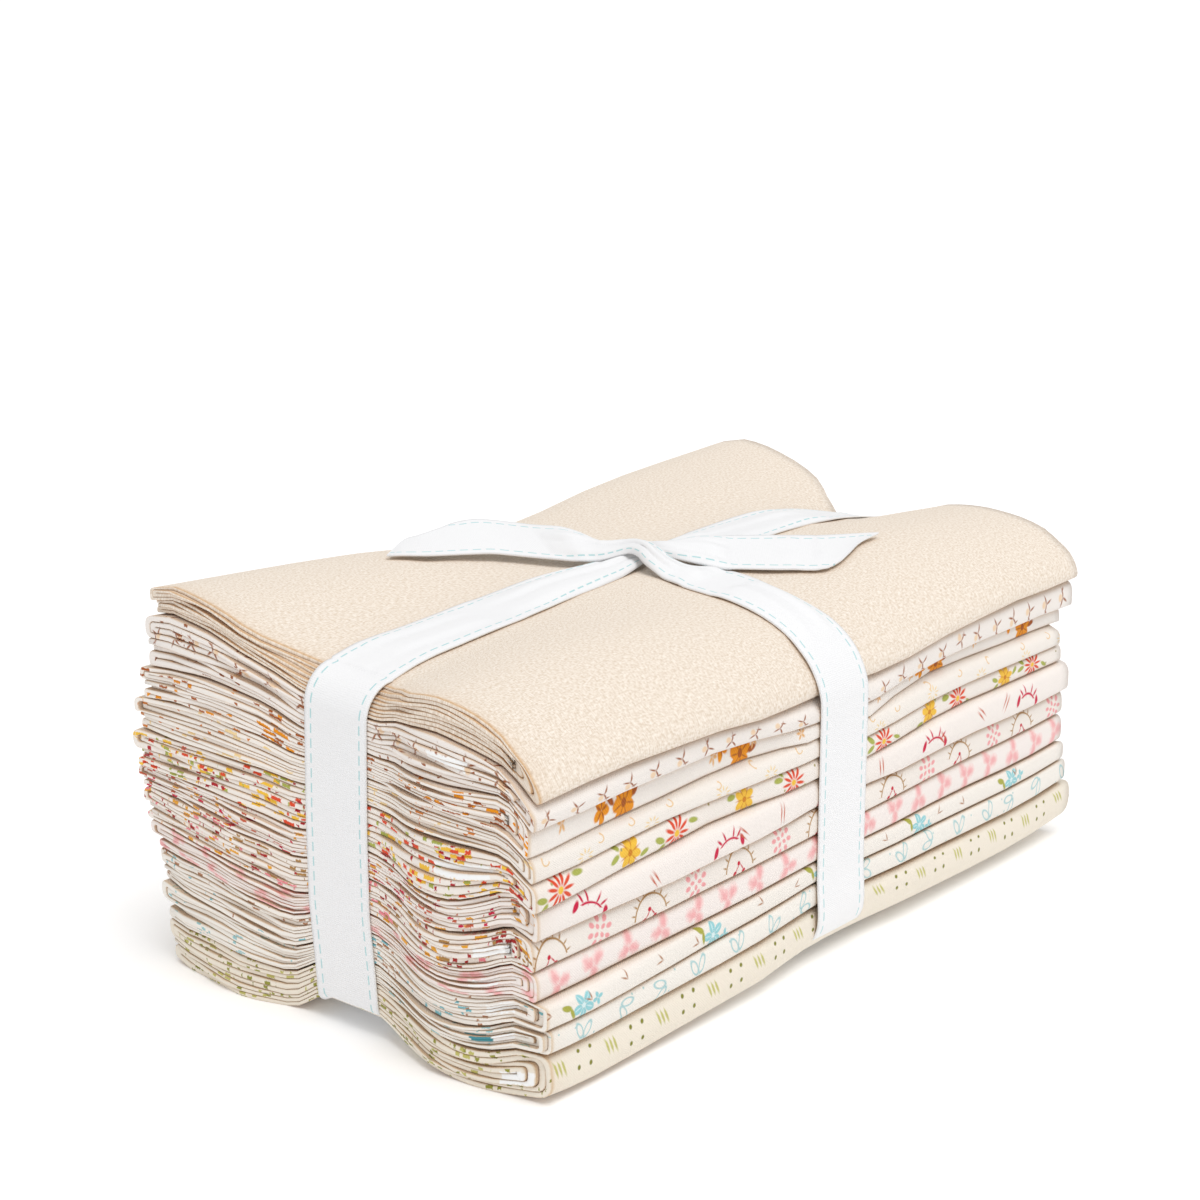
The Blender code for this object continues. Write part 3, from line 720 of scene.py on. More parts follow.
def lengthwise_grid():
    """Inner face of the lengthwise run, once round the stack from under the knot."""

    def top_row(x):
        y = run_across(x)
        place = np.full(RIBBON_COLUMNS, x)
        lift = KNOT_LIFT * (1 - smooth(abs(x - KNOT_X), *KNOT_REACH))
        z = top_height(place, y) + RIBBON_REST + lift
        z = z + gather(np.array([y[-1] - y[0]]), RIBBON_WIDTH, np.array([x]), 0.1)[0]
        return np.stack((place, y, z), axis=1)

    def low_row(x):
        y = run_across(x)
        place = np.full(RIBBON_COLUMNS, x)
        return np.stack((place, y, bottom_height(place, y) - RIBBON_REST), axis=1)

    rows = []
    near_start = PRESSED_NEAR + TOP_ROUND
    far_start = PRESSED_FAR - TOP_ROUND
    for x in np.arange(KNOT_X, near_start, -RIBBON_STEP):
        rows.append(top_row(x))
    rows += end_rows(True)
    for x in np.linspace(PRESSED_NEAR + END_CORNER, PRESSED_FAR - END_CORNER, UNDER_ROWS)[1:-1]:
        rows.append(low_row(x))
    rows += end_rows(False)[::-1]
    for x in np.arange(far_start, KNOT_X, -RIBBON_STEP)[1:]:
        rows.append(top_row(x))
    return np.array(rows)


def end_rows(near):
    """Rows of the lengthwise run down one end of the stack."""
    edge = PRESSED_NEAR if near else PRESSED_FAR
    y = run_across(edge)
    floor = bottom_height(np.full(len(y), edge), y) - RIBBON_REST
    rows = []
    for x, z in end_corner(near, y, floor):
        share = np.clip((z.mean() - floor.mean()) / END_HEIGHT, 0.0, 1.0)
        lean = np.interp(share, END_LEAN[0], END_LEAN[1]) if near else 0.0
        rows.append(np.stack((x, y + lean, z), axis=1))
    return rows


def make_ribbon():
    """The lengthwise run, and the crosswise run with both free ends as one length."""
    centre = np.array((TIE_X, 0.0, 45.0))
    lengthwise = lengthwise_grid()
    pieces = [band_mesh(lengthwise, lengthwise - centre, 0.0)]
    edges = []
    for side, (left, over, under, right) in enumerate(TIE_EDGES):
        edges.append(np.concatenate((left[::-1], over[::-1], face_points(True, side)[::-1],
                                     under_points(side), face_points(False, side), under, right)))
    first, second = curve_through(edges[0], edges[1], RIBBON_STEP)
    span = free_end_span(first, second)
    grid = gathered(first, second, centre, span, 0.05)
    pieces.append(band_mesh(grid, grid - centre, CROSSWISE_START, span))

    vertices, faces, uv = [], [], []
    offset = 0
    for points, polygons, coordinates in pieces:
        vertices.append(points)
        uv.append(coordinates)
        faces += [tuple(k + offset for k in polygon) for polygon in polygons]
        offset += len(points)
    return add_mesh("ribbon_band", np.concatenate(vertices), faces, {"cloth": np.concatenate(uv)})


FRONT_HEIGHTS = (9.0, 24.0, 42.0, 56.0, 65.0)
HIDDEN_HEIGHTS = (9.0, 26.0, 48.0, 70.0, 84.0)
HIDDEN_BENDS = (0.1, 0.7, 2.2)
HIDDEN_CLEAR = 0.6
HIDDEN_CLEAR_BAND = (50.0, 60.0)

# Where the front strand rolls over the stack's edge, (y, z) of its inner face
FRONT_ROLL = ((-63.3, 68.8), (-62.6, 71.8), (-61.3, 74.8), (-59.4, 77.9), (-57.0, 80.5),
              (-54.0, 83.1), (-50.5, 85.2))

# Edges of the crosswise run's front strand and of its hidden strand, x of each at some y
FACE_CENTRE = -3.4
FRONT_NEAR_EDGE = {-64.0: -13.4, -58.0: -13.8, -52.0: -14.0, -44.0: -14.4, -36.0: -15.1, -30.0: -16.0,
                   -24.0: -16.4, -20.0: -15.9, -15.5: -15.0}
FRONT_FAR_EDGE = {-64.0: 6.6, -58.0: 6.3, -52.0: 5.4, -44.0: 4.2, -36.0: 3.9, -30.0: 4.2,
                  -24.0: 4.2, -20.0: 2.6, -15.5: -1.8}
HIDDEN_NEAR_EDGE = {64.0: -14.0, 40.0: -14.0, 26.0: -12.8, 14.0: -10.2}
HIDDEN_FAR_EDGE = {64.0: 6.0, 40.0: 6.0, 26.0: 4.6, 14.0: 1.8}
OVER_KNOT_NEAR = ((-14.2, -11.6, 93.6), (-13.3, -8.0, 95.0), (-12.3, -5.4, 96.2), (-11.6, -1.6, 96.3),
                  (-13.4, 1.4, 95.3), (-15.3, 3.0, 94.7))
OVER_KNOT_FAR = ((-6.0, -12.0, 94.2), (-7.2, -9.4, 96.2), (-7.0, -6.6, 97.3), (-5.6, -2.0, 97.6),
                 (-5.6, 4.2, 96.9), (-8.8, 10.6, 96.4))
LEFT_TAIL_NEAR = ((-17.0, 5.0, 94.2), (-18.9, 7.0, 94.1), (-20.9, 10.5, 93.9), (-24.2, 17.8, 94.0),
                  (-27.7, 23.7, 94.4), (-31.4, 27.3, 95.0), (-37.1, 30.5, 95.4), (-42.3, 32.6, 95.8),
                  (-47.6, 35.0, 96.2), (-52.8, 40.1, 96.4), (-55.3, 41.6, 96.5))
LEFT_TAIL_FAR = ((-9.5, 16.8, 97.8), (-11.0, 21.7, 98.9), (-12.5, 27.3, 99.0), (-15.0, 35.1, 99.2),
                 (-17.6, 40.8, 99.5), (-20.6, 44.4, 99.7), (-26.5, 46.2, 99.5), (-32.0, 45.9, 99.1),
                 (-38.8, 46.6, 98.3), (-44.7, 47.7, 97.3), (-55.5, 42.1, 96.55))
UNDER_KNOT_NEAR = ((-8.5, 7.0, 93.4), (-7.0, 1.0, 93.6), (-5.0, -3.2, 94.0))
UNDER_KNOT_FAR = ((0.5, 8.0, 93.6), (2.2, 5.2, 94.4), (2.6, 2.4, 95.2))
RIGHT_TAIL_NEAR = ((-3.5, -6.6, 94.4), (-2.5, -11.1, 94.0), (-0.8, -16.2, 93.4), (1.7, -21.6, 92.5),
                   (5.4, -23.7, 92.1), (10.5, -28.6, 91.8), (16.3, -33.6, 91.4), (22.2, -38.4, 91.2),
                   (28.2, -39.1, 91.9), (34.9, -38.0, 93.1), (42.4, -36.4, 94.4), (51.2, -36.2, 95.2))
RIGHT_TAIL_FAR = ((2.4, -0.6, 95.9), (5.7, -2.6, 95.9), (10.8, -4.9, 96.5), (15.7, -8.8, 96.7),
                  (20.1, -10.7, 96.3), (25.1, -15.6, 96.2), (30.9, -20.8, 96.0), (37.0, -25.9, 95.6),
                  (41.0, -28.8, 95.5), (44.6, -31.3, 95.45), (48.4, -33.9, 95.4), (51.6, -36.0, 95.3))
TIE_EDGES = (
    (LEFT_TAIL_NEAR, OVER_KNOT_NEAR, UNDER_KNOT_NEAR, RIGHT_TAIL_NEAR),
    (LEFT_TAIL_FAR, OVER_KNOT_FAR, UNDER_KNOT_FAR, RIGHT_TAIL_FAR),
)
LEFT_CUT = -31.5
RIGHT_CUT = 22.3


def face_points(front, side):
    """Control points of one edge of the crosswise run, from the foot of a long face to the knot."""
    if front:
        edge, centre = (FRONT_NEAR_EDGE, FRONT_FAR_EDGE)[side], FACE_CENTRE
        face, heights = PRESSED_FRONT - RIBBON_REST, FRONT_HEIGHTS
        roll = list(FRONT_ROLL)
    else:
        edge, centre = (HIDDEN_NEAR_EDGE, HIDDEN_FAR_EDGE)[side], TIE_X
        face, heights = PRESSED_HIDDEN + RIBBON_REST, HIDDEN_HEIGHTS
        roll = [(face - back, 0.0) for back in HIDDEN_BENDS]
    points = [(centre + (side - 0.5) * RIBBON_WIDTH, face, z) for z in heights]
    flat = [(y, 0.0) for y in sorted(edge, key=abs, reverse=True) if abs(y) < abs(roll[-1][0]) - 1.0]
    for y, z in roll + flat:
        x = np.interp(y, sorted(edge), [edge[k] for k in sorted(edge)])
        clear = RIBBON_REST + HIDDEN_CLEAR * smooth(y, *HIDDEN_CLEAR_BAND)
        top = top_height(np.array([x]), np.array([y]))[0] + clear
        points.append((x, y, z if z > 0 else top))
    return np.array(points)


def under_points(side):
    """Control points of one edge below the stack, from the front to the hidden face."""
    x = TIE_X + (side - 0.5) * RIBBON_WIDTH
    floor = BOTTOM_DENT - RIBBON_REST
    low = floor - RIBBON_THICK - RIBBON_REST
    places = ((-60.6, floor - 0.1), (-40.0, floor), (-18.0, floor), (-13.0, low), (0.0, low),
              (13.0, low), (18.0, floor), (40.0, floor), (61.8, floor))
    return np.array([(x, y, z) for y, z in places])


def linear(red, green, blue):
    """Linear colour of an sRGB colour given in 0 to 255."""
    values = []
    for value in (red, green, blue):
        value = value / 255
        values.append(value / 12.92 if value <= 0.04045 else ((value + 0.055) / 1.055) ** 2.4)
    return (*values, 1.0)


def feed(tree, slot, value):
    """Gives a shader socket a field, another socket or a constant."""
    if isinstance(value, Field):
        value = value.socket
    if isinstance(value, bpy.types.NodeSocket):
        tree.links.new(value, slot)
    else:
        slot.default_value = value


class Field:
    """A number worked out by shader nodes at each point, with ordinary arithmetic on it."""

    def __init__(self, tree, socket):
        self.tree = tree
        self.socket = socket

    def math(self, kind, *values, clamp=False):
        node = self.tree.nodes.new("ShaderNodeMath")
        node.operation = kind
        node.use_clamp = clamp
        for slot, value in zip(node.inputs, values):
            feed(self.tree, slot, value)
        return Field(self.tree, node.outputs[0])

    def __add__(self, other):
        return self.math("ADD", self, other)

    def __sub__(self, other):
        return self.math("SUBTRACT", self, other)

    def __rsub__(self, other):
        return self.math("SUBTRACT", other, self)

    def __mul__(self, other):
        return self.math("MULTIPLY", self, other)

    def __truediv__(self, other):
        return self.math("DIVIDE", self, other)

    __radd__ = __add__
    __rmul__ = __mul__

    def times_plus(self, factor, term):
        return self.math("MULTIPLY_ADD", self, factor, term)

    def least(self, other):
        return self.math("MINIMUM", self, other)

    def most(self, other):
        return self.math("MAXIMUM", self, other)

    def size(self):
        return self.math("ABSOLUTE", self)

    def above(self, edge):
        return self.math("GREATER_THAN", self, edge)

    def inside(self, soft):
        """1 where a distance is negative, 0 where it is positive, with a soft edge."""
        return self.math("MULTIPLY_ADD", self, -1.0 / soft, 0.5, clamp=True)


def vector_of(x, y, z=0.0):
    """Vector socket of a field, a second field and a third field or number."""
    node = x.tree.nodes.new("ShaderNodeCombineXYZ")
    for slot, value in zip(node.inputs, (x, y, z)):
        feed(x.tree, slot, value)
    return node.outputs[0]


def length_of(x, y):
    node = x.tree.nodes.new("ShaderNodeVectorMath")
    node.operation = "LENGTH"
    x.tree.links.new(vector_of(x, y), node.inputs[0])
    return Field(x.tree, node.outputs["Value"])


def noise(x, y, scale, detail=1.0, seed=0.0):
    """Smooth noise around 0.5. The seed is the third coordinate, so it moves to another slice."""
    node = x.tree.nodes.new("ShaderNodeTexNoise")
    node.inputs["Scale"].default_value = scale
    node.inputs["Detail"].default_value = detail
    x.tree.links.new(vector_of(x, y, seed), node.inputs["Vector"])
    return Field(x.tree, node.outputs["Fac"])


def chances(column, row, seed):
    """Three fixed random numbers of a cell."""
    node = column.tree.nodes.new("ShaderNodeTexWhiteNoise")
    node.noise_dimensions = "3D"
    column.tree.links.new(vector_of(column, row, seed), node.inputs["Vector"])
    split = column.tree.nodes.new("ShaderNodeSeparateColor")
    column.tree.links.new(node.outputs["Color"], split.inputs["Color"])
    return [Field(column.tree, output) for output in split.outputs[:3]]


def cells(x, y, wide, tall, seed, shift=(0.0, 0.0), stagger=0.5, jitter=(0.0, 0.0), turn=0.0):
    """Place in a repeated cell, from its middle, and three random numbers of that cell."""
    down = (y + shift[1]) / tall
    row = down.math("FLOOR", down)
    along = (x + shift[0]) / wide + row * stagger
    column = along.math("FLOOR", along)
    draws = chances(column, row, seed)
    cx = (along - column - 0.5) * wide
    cy = (down - row - 0.5) * tall
    if jitter[0]:
        cx = cx + (draws[0] - 0.5) * jitter[0]
    if jitter[1]:
        cy = cy + (draws[1] - 0.5) * jitter[1]
    if turn:
        angle = (draws[2] - 0.5) * turn
        cos, sin = angle.math("COSINE", angle), angle.math("SINE", angle)
        cx, cy = cx * cos + cy * sin, cy * cos - cx * sin
    return cx, cy, draws


def blade(x, y, place, angle, long, wide):
    """Distance to a thin pointed stroke or a leaf, from its middle and its direction."""
    cos, sin = math.cos(math.radians(angle)), math.sin(math.radians(angle))
    along = x.times_plus(cos / long, y * (sin / long)) - (place[0] * cos + place[1] * sin) / long
    aside = y.times_plus(cos / wide, x * (-sin / wide)) - (place[1] * cos - place[0] * sin) / wide
    return (length_of(along, aside) - 1.0) * wide


def spokes(x, y, count, place, long, wide, spin=0.0):
    """Distance to a ring of petals."""
    sector = 2 * math.pi / count
    angle = x.math("ARCTAN2", y, x) + spin
    turn = angle - angle.math("ROUND", angle / sector) * sector
    reach = length_of(x, y)
    px = reach * turn.math("COSINE", turn)
    py = reach * turn.math("SINE", turn)
    return blade(px, py, (place, 0.0), 0.0, long, wide)


def disc(x, y, place, radius):
    """Distance to a round spot."""
    return length_of(x - place[0], y - place[1]) - radius


def ring(distance, thick):
    """Distance to the line round a shape, of half that thickness each way."""
    return distance.size() - thick


PRINT_SOFT = 0.028
# Painted crease shade: how much of its colour is multiplied in at full weight
CREASE_SHADE_SHARE = 0.9
# Painted contact shade: reach in metres and samples of the occlusion that finds nearby parts, how much
# less of it the near end faces get, and its colour
CONTACT_SHADE_REACH = 0.0022
CONTACT_SHADE_SAMPLES = 6
END_SHADE_CUT = 0.8
CONTACT_SHADE_TINT = (0.60, 0.40, 0.22, 1.0)
# Colours of the painted crease shade between layers at the near end: warm, and ochre on the oatmeal
# cloth
WARM_CREASE_SHADE = (0.80, 0.64, 0.47, 1.0)
OCHRE_CREASE_SHADE = (0.74, 0.50, 0.26, 1.0)


class Cotton:
    """The shader of one cloth: its ground, prints, weave, and the painted warm shade of its creases and
    of the places where parts touch.

    Prints are laid out in centimetres, on the long front band or on the near end.
    """

    def __init__(self, name, ground, roughness=0.92):
        self.material = bpy.data.materials.new(name)
        self.material.use_nodes = True
        self.tree = self.material.node_tree
        self.shader = self.tree.nodes["Principled BSDF"]
        self.shader.inputs["Roughness"].default_value = roughness
        self.shader.inputs["Specular IOR Level"].default_value = 0.25
        self.shader.inputs["Sheen Weight"].default_value = 0.12
        self.shader.inputs["Sheen Roughness"].default_value = 0.5
        self.path, self.along = self.map_fields("cloth")
        self.x, self.y, self.where = self.along, self.path * -1.0, None
        self.colour = ground

    def map_fields(self, name):
        uv = self.tree.nodes.new("ShaderNodeUVMap")
        uv.uv_map = name
        split = self.tree.nodes.new("ShaderNodeSeparateXYZ")
        self.tree.links.new(uv.outputs["UV"], split.inputs["Vector"])
        return Field(self.tree, split.outputs["X"]), Field(self.tree, split.outputs["Y"])

    def attribute(self, name):
        node = self.tree.nodes.new("ShaderNodeAttribute")
        node.attribute_name = name
        return Field(self.tree, node.outputs["Fac"])

    def on_band(self):
        """Print coordinates on the front band, whose middle is just above the fold's tip."""
        self.x, self.y = self.along, -0.1 - self.path
        self.where = 1.0 - self.attribute("on_end").above(0.5)

    def on_near_end(self):
        """Print coordinates on the layers' edges at the near end."""
        self.x, self.y = self.map_fields("end")
        self.where = self.attribute("on_end").above(0.5)

    def mix(self, first, second, share, blend="MIX"):
        """Colour socket between two colours, by a share of the second."""
        node = self.tree.nodes.new("ShaderNodeMix")
        node.data_type = "RGBA"
        node.blend_type = blend
        for slot, value in ((6, first), (7, second), (0, share)):
            feed(self.tree, node.inputs[slot], value)
        return node.outputs[2]

    def repeat(self, wide, tall, seed, **layout):
        """Place in the print's repeated cell, and three random numbers of that cell."""
        return cells(self.x, self.y, wide, tall, seed, **layout)

    def stamp(self, colour, distance, soft=PRINT_SOFT, when=None, strength=1.0):
        """Prints a colour where a distance is negative."""
        mask = distance.inside(soft)
        for factor in (when, self.where):
            if factor is not None:
                mask = mask * factor
        if strength != 1.0:
            mask = mask * strength
        self.colour = self.mix(self.colour, colour, mask)

    def flecks(self, colour, wide, tall, seed, share, patch=1.5):
        """Short dashes where a print shows in the layers' edges, gathered in patches."""
        x, y, draw = self.repeat(wide, tall, seed, stagger=0.37, jitter=(0.5 * wide, 0.35 * tall))
        ragged = (noise(self.x, self.y, 22.0, 1.0, seed) - 0.5) * 0.07
        dash = (x.size() - draw[2] * (0.42 * wide)).most(y.size() - 0.31 * tall) + ragged
        near_by = noise(self.x, self.y, patch, 0.0, seed + 0.5)
        chosen = (draw[0] * 0.45 + near_by).above(1.0 - 0.35 * share)
        self.stamp(colour, dash, 0.02, when=chosen)

    def selvage(self, start, end, middle=0.0, half=0.15):
        """White edge of the cloth, which shows in the layers' edges."""
        box = (self.x - (start + end) / 2).size() - (end - start) / 2
        box = box.most((self.y - middle).size() - half)
        ragged = (noise(self.x, self.y, 9.0, 1.0, 4.0) - 0.5) * 0.12
        self.stamp(linear(252, 253, 253), box + ragged, 0.03)

    def weave(self, pitch, stretch, low, high, contrast):
        """Slubs along both ways of the weave, as a colour change of the ground."""
        warp = noise(self.x * stretch, self.y, pitch, 2.0, 1.3)
        weft = noise(self.x, self.y * stretch, pitch, 2.0, 7.9)
        share = (warp + weft - 1.0).times_plus(contrast, 0.5)
        share = share.math("MULTIPLY", share, 1.0, clamp=True)
        self.colour = self.mix(low, high, share)
        return warp + weft

    def tinted(self, tint, share):
        """Multiplies the colour so far by a tint, by a share of it."""
        self.colour = self.mix(self.colour, tint, share, "MULTIPLY")

    def finish(self, height, distance, crease=None, contact_shade=0.0):
        """Adds painted warm shade in the creases, painted contact shade where parts touch, and a bump
        from a height field.
        """
        # Painted crease shade: the colour is multiplied towards a warm shade colour by the crease
        # weight
        if crease is not None:
            self.tinted(crease, self.attribute("crease") * CREASE_SHADE_SHARE)
        # Painted contact shade: where an occlusion node finds other surfaces within a few millimetres,
        # the colour is multiplied towards a dark ochre tint, less on the near end faces
        if contact_shade:
            near_by = self.tree.nodes.new("ShaderNodeAmbientOcclusion")
            near_by.samples = CONTACT_SHADE_SAMPLES
            near_by.inputs["Distance"].default_value = CONTACT_SHADE_REACH
            shade = 1.0 - Field(self.tree, near_by.outputs["AO"])
            shade_kept = 1.0 - self.attribute("on_end") * END_SHADE_CUT
            self.tinted(CONTACT_SHADE_TINT, shade.math("MULTIPLY", shade, shade_kept * contact_shade, clamp=True))
        self.tree.links.new(self.colour, self.shader.inputs["Base Color"])
        bump = self.tree.nodes.new("ShaderNodeBump")
        bump.inputs["Strength"].default_value = 1.0
        bump.inputs["Distance"].default_value = distance
        self.tree.links.new(height.socket, bump.inputs["Height"])
        self.tree.links.new(bump.outputs["Normal"], self.shader.inputs["Normal"])
        return self.material


def threads(cotton, pitch):
    """Height of a plain weave with threads at a pitch in centimetres."""
    turn = 2 * math.pi / pitch
    x, y = cotton.along * turn, cotton.path * turn
    over = x.math("SINE", x) * y.math("SINE", y)
    return over * 0.5 + noise(cotton.along, cotton.path, 9.0, 2.0, 3.0) * 1.6


def look_oatmeal(cotton):
    height = cotton.weave(30.0, 0.33, linear(223, 206, 186), linear(249, 239, 227), 2.2)
    # Painted ochre crease shade and painted contact shade on the oatmeal cloth
    return cotton.finish(height, 0.00014, OCHRE_CREASE_SHADE, 0.7)


def printed(cotton):
    # Painted warm crease shade and painted contact shade on each printed cloth
    return cotton.finish(threads(cotton, 0.07), 0.00009, WARM_CREASE_SHADE, 0.8)


def look_twig(cotton):
    brown, beige = linear(160, 98, 62), linear(240, 212, 180)
    for end in (False, True):
        if end:
            cotton.on_near_end()
            x, y, draw = cotton.repeat(0.8, 2.0, 3.0, shift=(0.0, 0.86), turn=0.9, jitter=(0.2, 0.16))
        else:
            cotton.on_band()
            x, y, draw = cotton.repeat(0.91, 1.3, 2.0, shift=(0.0, 0.65), turn=1.1, jitter=(0.08, 0.08))
        y = y * (draw[1] - 0.5).math("SIGN", draw[1] - 0.5)
        cotton.stamp(beige, disc(x, y, (0.12, -0.04), 0.09), 0.05)
        stem = blade(x, y, (-0.02, -0.08), 78, 0.13, 0.024)
        arms = blade(x.size(), y, (0.09, 0.1), 46, 0.115, 0.027)
        foot = blade(x, y, (-0.07, -0.17), 14, 0.075, 0.022)
        cotton.stamp(brown, stem.least(arms).least(foot))
    cotton.flecks(brown, 0.45, 0.11, 4.0, 0.2, 2.2)
    cotton.selvage(3.3, 4.4, 0.1, 0.12)
    return printed(cotton)


def look_amber(cotton):
    amber, brown = linear(234, 148, 22), linear(168, 88, 28)
    cotton.on_band()
    x, y, _ = cotton.repeat(4.3, 3.0, 5.0, shift=(1.1, 1.5), turn=0.5, jitter=(0.3, 0.06))
    cotton.stamp(amber, spokes(x, y, 7, 0.2, 0.19, 0.12))
    cotton.stamp(brown, spokes(x, y, 7, 0.2, 0.12, 0.015, 0.2).least(disc(x, y, (0.0, 0.0), 0.085)))
    cotton.stamp(amber, spokes(x - 0.78, y - 0.08, 5, 0.14, 0.14, 0.09, 0.4))
    side = blade(x, y, (0.47, 0.14), 30, 0.15, 0.05).least(blade(x, y, (-0.42, 0.12), 150, 0.15, 0.06))
    cotton.stamp(brown, side.least(spokes(x - 0.78, y - 0.08, 5, 0.1, 0.08, 0.02, 0.8)))
    x, y, draw = cotton.repeat(1.7, 3.0, 6.0, shift=(0.3, 1.35), turn=5.0, jitter=(0.6, 0.2))
    cotton.stamp(linear(232, 182, 126), spokes(x, y, 5, 0.08, 0.07, 0.032), when=draw[1].above(0.4))
    cotton.on_near_end()
    cotton.flecks(brown, 0.55, 0.1, 40.0, 0.48)
    cotton.flecks(amber, 0.55, 0.13, 41.0, 0.46)
    return printed(cotton)


def look_straw(cotton):
    straw = linear(243, 214, 158)
    cotton.on_band()
    x, y, _ = cotton.repeat(2.3, 1.6, 8.0, shift=(0.5, 0.9), turn=3.0, jitter=(0.5, 0.2))
    cotton.stamp(straw, spokes(x, y, 9, 0.18, 0.07, 0.024))
    x, y, _ = cotton.repeat(1.5, 1.1, 9.0, shift=(1.2, 0.3), turn=4.0, jitter=(0.6, 0.2))
    cotton.stamp(linear(236, 200, 150), ring(disc(x, y, (0.0, 0.0), 0.1), 0.018).most(y - 0.03))
    cotton.on_near_end()
    cotton.flecks(straw, 0.5, 0.1, 42.0, 0.3)
    cotton.flecks(linear(214, 128, 52), 0.5, 0.1, 43.0, 0.1)
    return printed(cotton)


def look_sprig(cotton):
    yellow, olive, red = linear(243, 194, 66), linear(172, 178, 86), linear(224, 78, 44)
    gold = linear(208, 132, 30)
    cotton.on_band()
    x, y, _ = cotton.repeat(4.0, 2.0, 11.0, shift=(1.2, 1.0), turn=1.6, jitter=(0.5, 0.08))
    cotton.stamp(yellow, spokes(x, y, 6, 0.2, 0.17, 0.1))
    cotton.stamp(gold, disc(x, y, (0.0, 0.0), 0.075).least(spokes(x, y, 6, 0.2, 0.1, 0.016, 0.52)))
    leaves = blade(x, y.size(), (0.5, 0.13), 35, 0.15, 0.07)
    cotton.stamp(olive, leaves.least(blade(x, y, (-0.5, 0.0), 150, 0.15, 0.06)))
    x, y, _ = cotton.repeat(4.0, 2.0, 12.0, shift=(3.0, 1.02), turn=1.6, jitter=(0.7, 0.1))
    cotton.stamp(red, spokes(x, y, 11, 0.26, 0.16, 0.042))
    cotton.stamp(yellow, disc(x, y, (0.0, 0.0), 0.085))
    leaves = blade(x, y.size(), (0.6, 0.12), 30, 0.17, 0.075)
    cotton.stamp(olive, leaves.least(blade(x, y, (-0.62, 0.02), 20, 0.17, 0.06)))
    x, y, draw = cotton.repeat(0.8, 0.62, 13.0, jitter=(0.5, 0.4))
    cotton.stamp(linear(172, 160, 104), disc(x, y, (0.0, 0.0), 0.03), when=draw[2].above(0.4))
    cotton.on_near_end()
    cotton.flecks(yellow, 0.46, 0.16, 44.0, 0.62)
    cotton.flecks(olive, 0.4, 0.15, 45.0, 0.46)
    cotton.flecks(red, 0.4, 0.15, 46.0, 0.4)
    cotton.flecks(linear(176, 32, 40), 0.3, 0.12, 47.0, 0.22)
    cotton.selvage(3.4, 5.0, 0.05, 0.17)
    return printed(cotton)


def look_branch(cotton):
    crimson, rust = linear(204, 20, 66), linear(200, 96, 66)
    cotton.on_band()
    x, y, _ = cotton.repeat(4.6, 2.0, 15.0, shift=(4.0, 1.0), turn=0.8, jitter=(0.4, 0.1))
    stem = ring(disc(x, y, (0.0, -0.5), 0.58), 0.024).most(x.size() - 0.5).most(y * -1.0 - 0.02)
    buds = blade(x.size(), y, (0.5, -0.08), 112, 0.14, 0.07)
    twigs = blade(x.size(), y, (0.17, 0.16), 66, 0.13, 0.028)
    twigs = twigs.least(blade(x.size(), y, (0.36, 0.1), 40, 0.11, 0.03))
    cotton.stamp(crimson, stem.least(buds).least(twigs))
    x, y, draw = cotton.repeat(1.5, 1.1, 16.0, shift=(0.2, 0.5), turn=2.0, jitter=(0.5, 0.3))
    strokes = blade((x.size() - 0.06).size(), y, (0.0, 0.0), 86, 0.19, 0.02)
    cotton.stamp(rust, strokes, when=draw[1].above(0.45))
    cotton.on_near_end()
    cotton.flecks(crimson, 0.36, 0.1, 48.0, 0.26)
    cotton.flecks(linear(226, 160, 60), 0.4, 0.1, 49.0, 0.24)
    cotton.flecks(rust, 0.3, 0.1, 50.0, 0.2)
    return printed(cotton)


def look_wreath(cotton):
    pink, tan, berry = linear(242, 166, 168), linear(176, 132, 74), linear(200, 24, 52)
    cotton.on_band()
    x, y, _ = cotton.repeat(3.3, 2.0, 18.0, shift=(0.4, 1.0), turn=2.0, jitter=(0.3, 0.1))
    petals = spokes(x, y, 8, 0.3, 0.085, 0.06).least(spokes(x, y, 4, 0.13, 0.07, 0.05, 0.4))
    cotton.stamp(pink, petals)
    x, y, _ = cotton.repeat(3.3, 2.0, 19.0, shift=(2.1, 1.1), turn=0.6, jitter=(0.3, 0.06))
    vine = ring(disc(x, y, (0.0, -0.12), 0.52), 0.02).most(y * -1.0 - 0.1)
    ticks = spokes(x, y + 0.12, 19, 0.58, 0.07, 0.02).most(y * -1.0 - 0.1)
    cotton.stamp(tan, vine.least(ticks))
    fruit = disc(x.size(), y, (0.17, -0.18), 0.062).least(disc(x, y, (0.03, 0.06), 0.055))
    cotton.stamp(berry, fruit.least(blade(x.size(), y, (0.09, -0.06), 124, 0.12, 0.018)))
    cotton.on_near_end()
    cotton.flecks(linear(232, 164, 50), 0.44, 0.14, 51.0, 0.46)
    cotton.flecks(tan, 0.4, 0.11, 52.0, 0.3)
    cotton.flecks(linear(238, 138, 148), 0.36, 0.11, 53.0, 0.3)
    cotton.flecks(linear(168, 44, 40), 0.28, 0.11, 54.0, 0.16)
    cotton.selvage(4.5, 5.5, 0.0, 0.12)
    return printed(cotton)


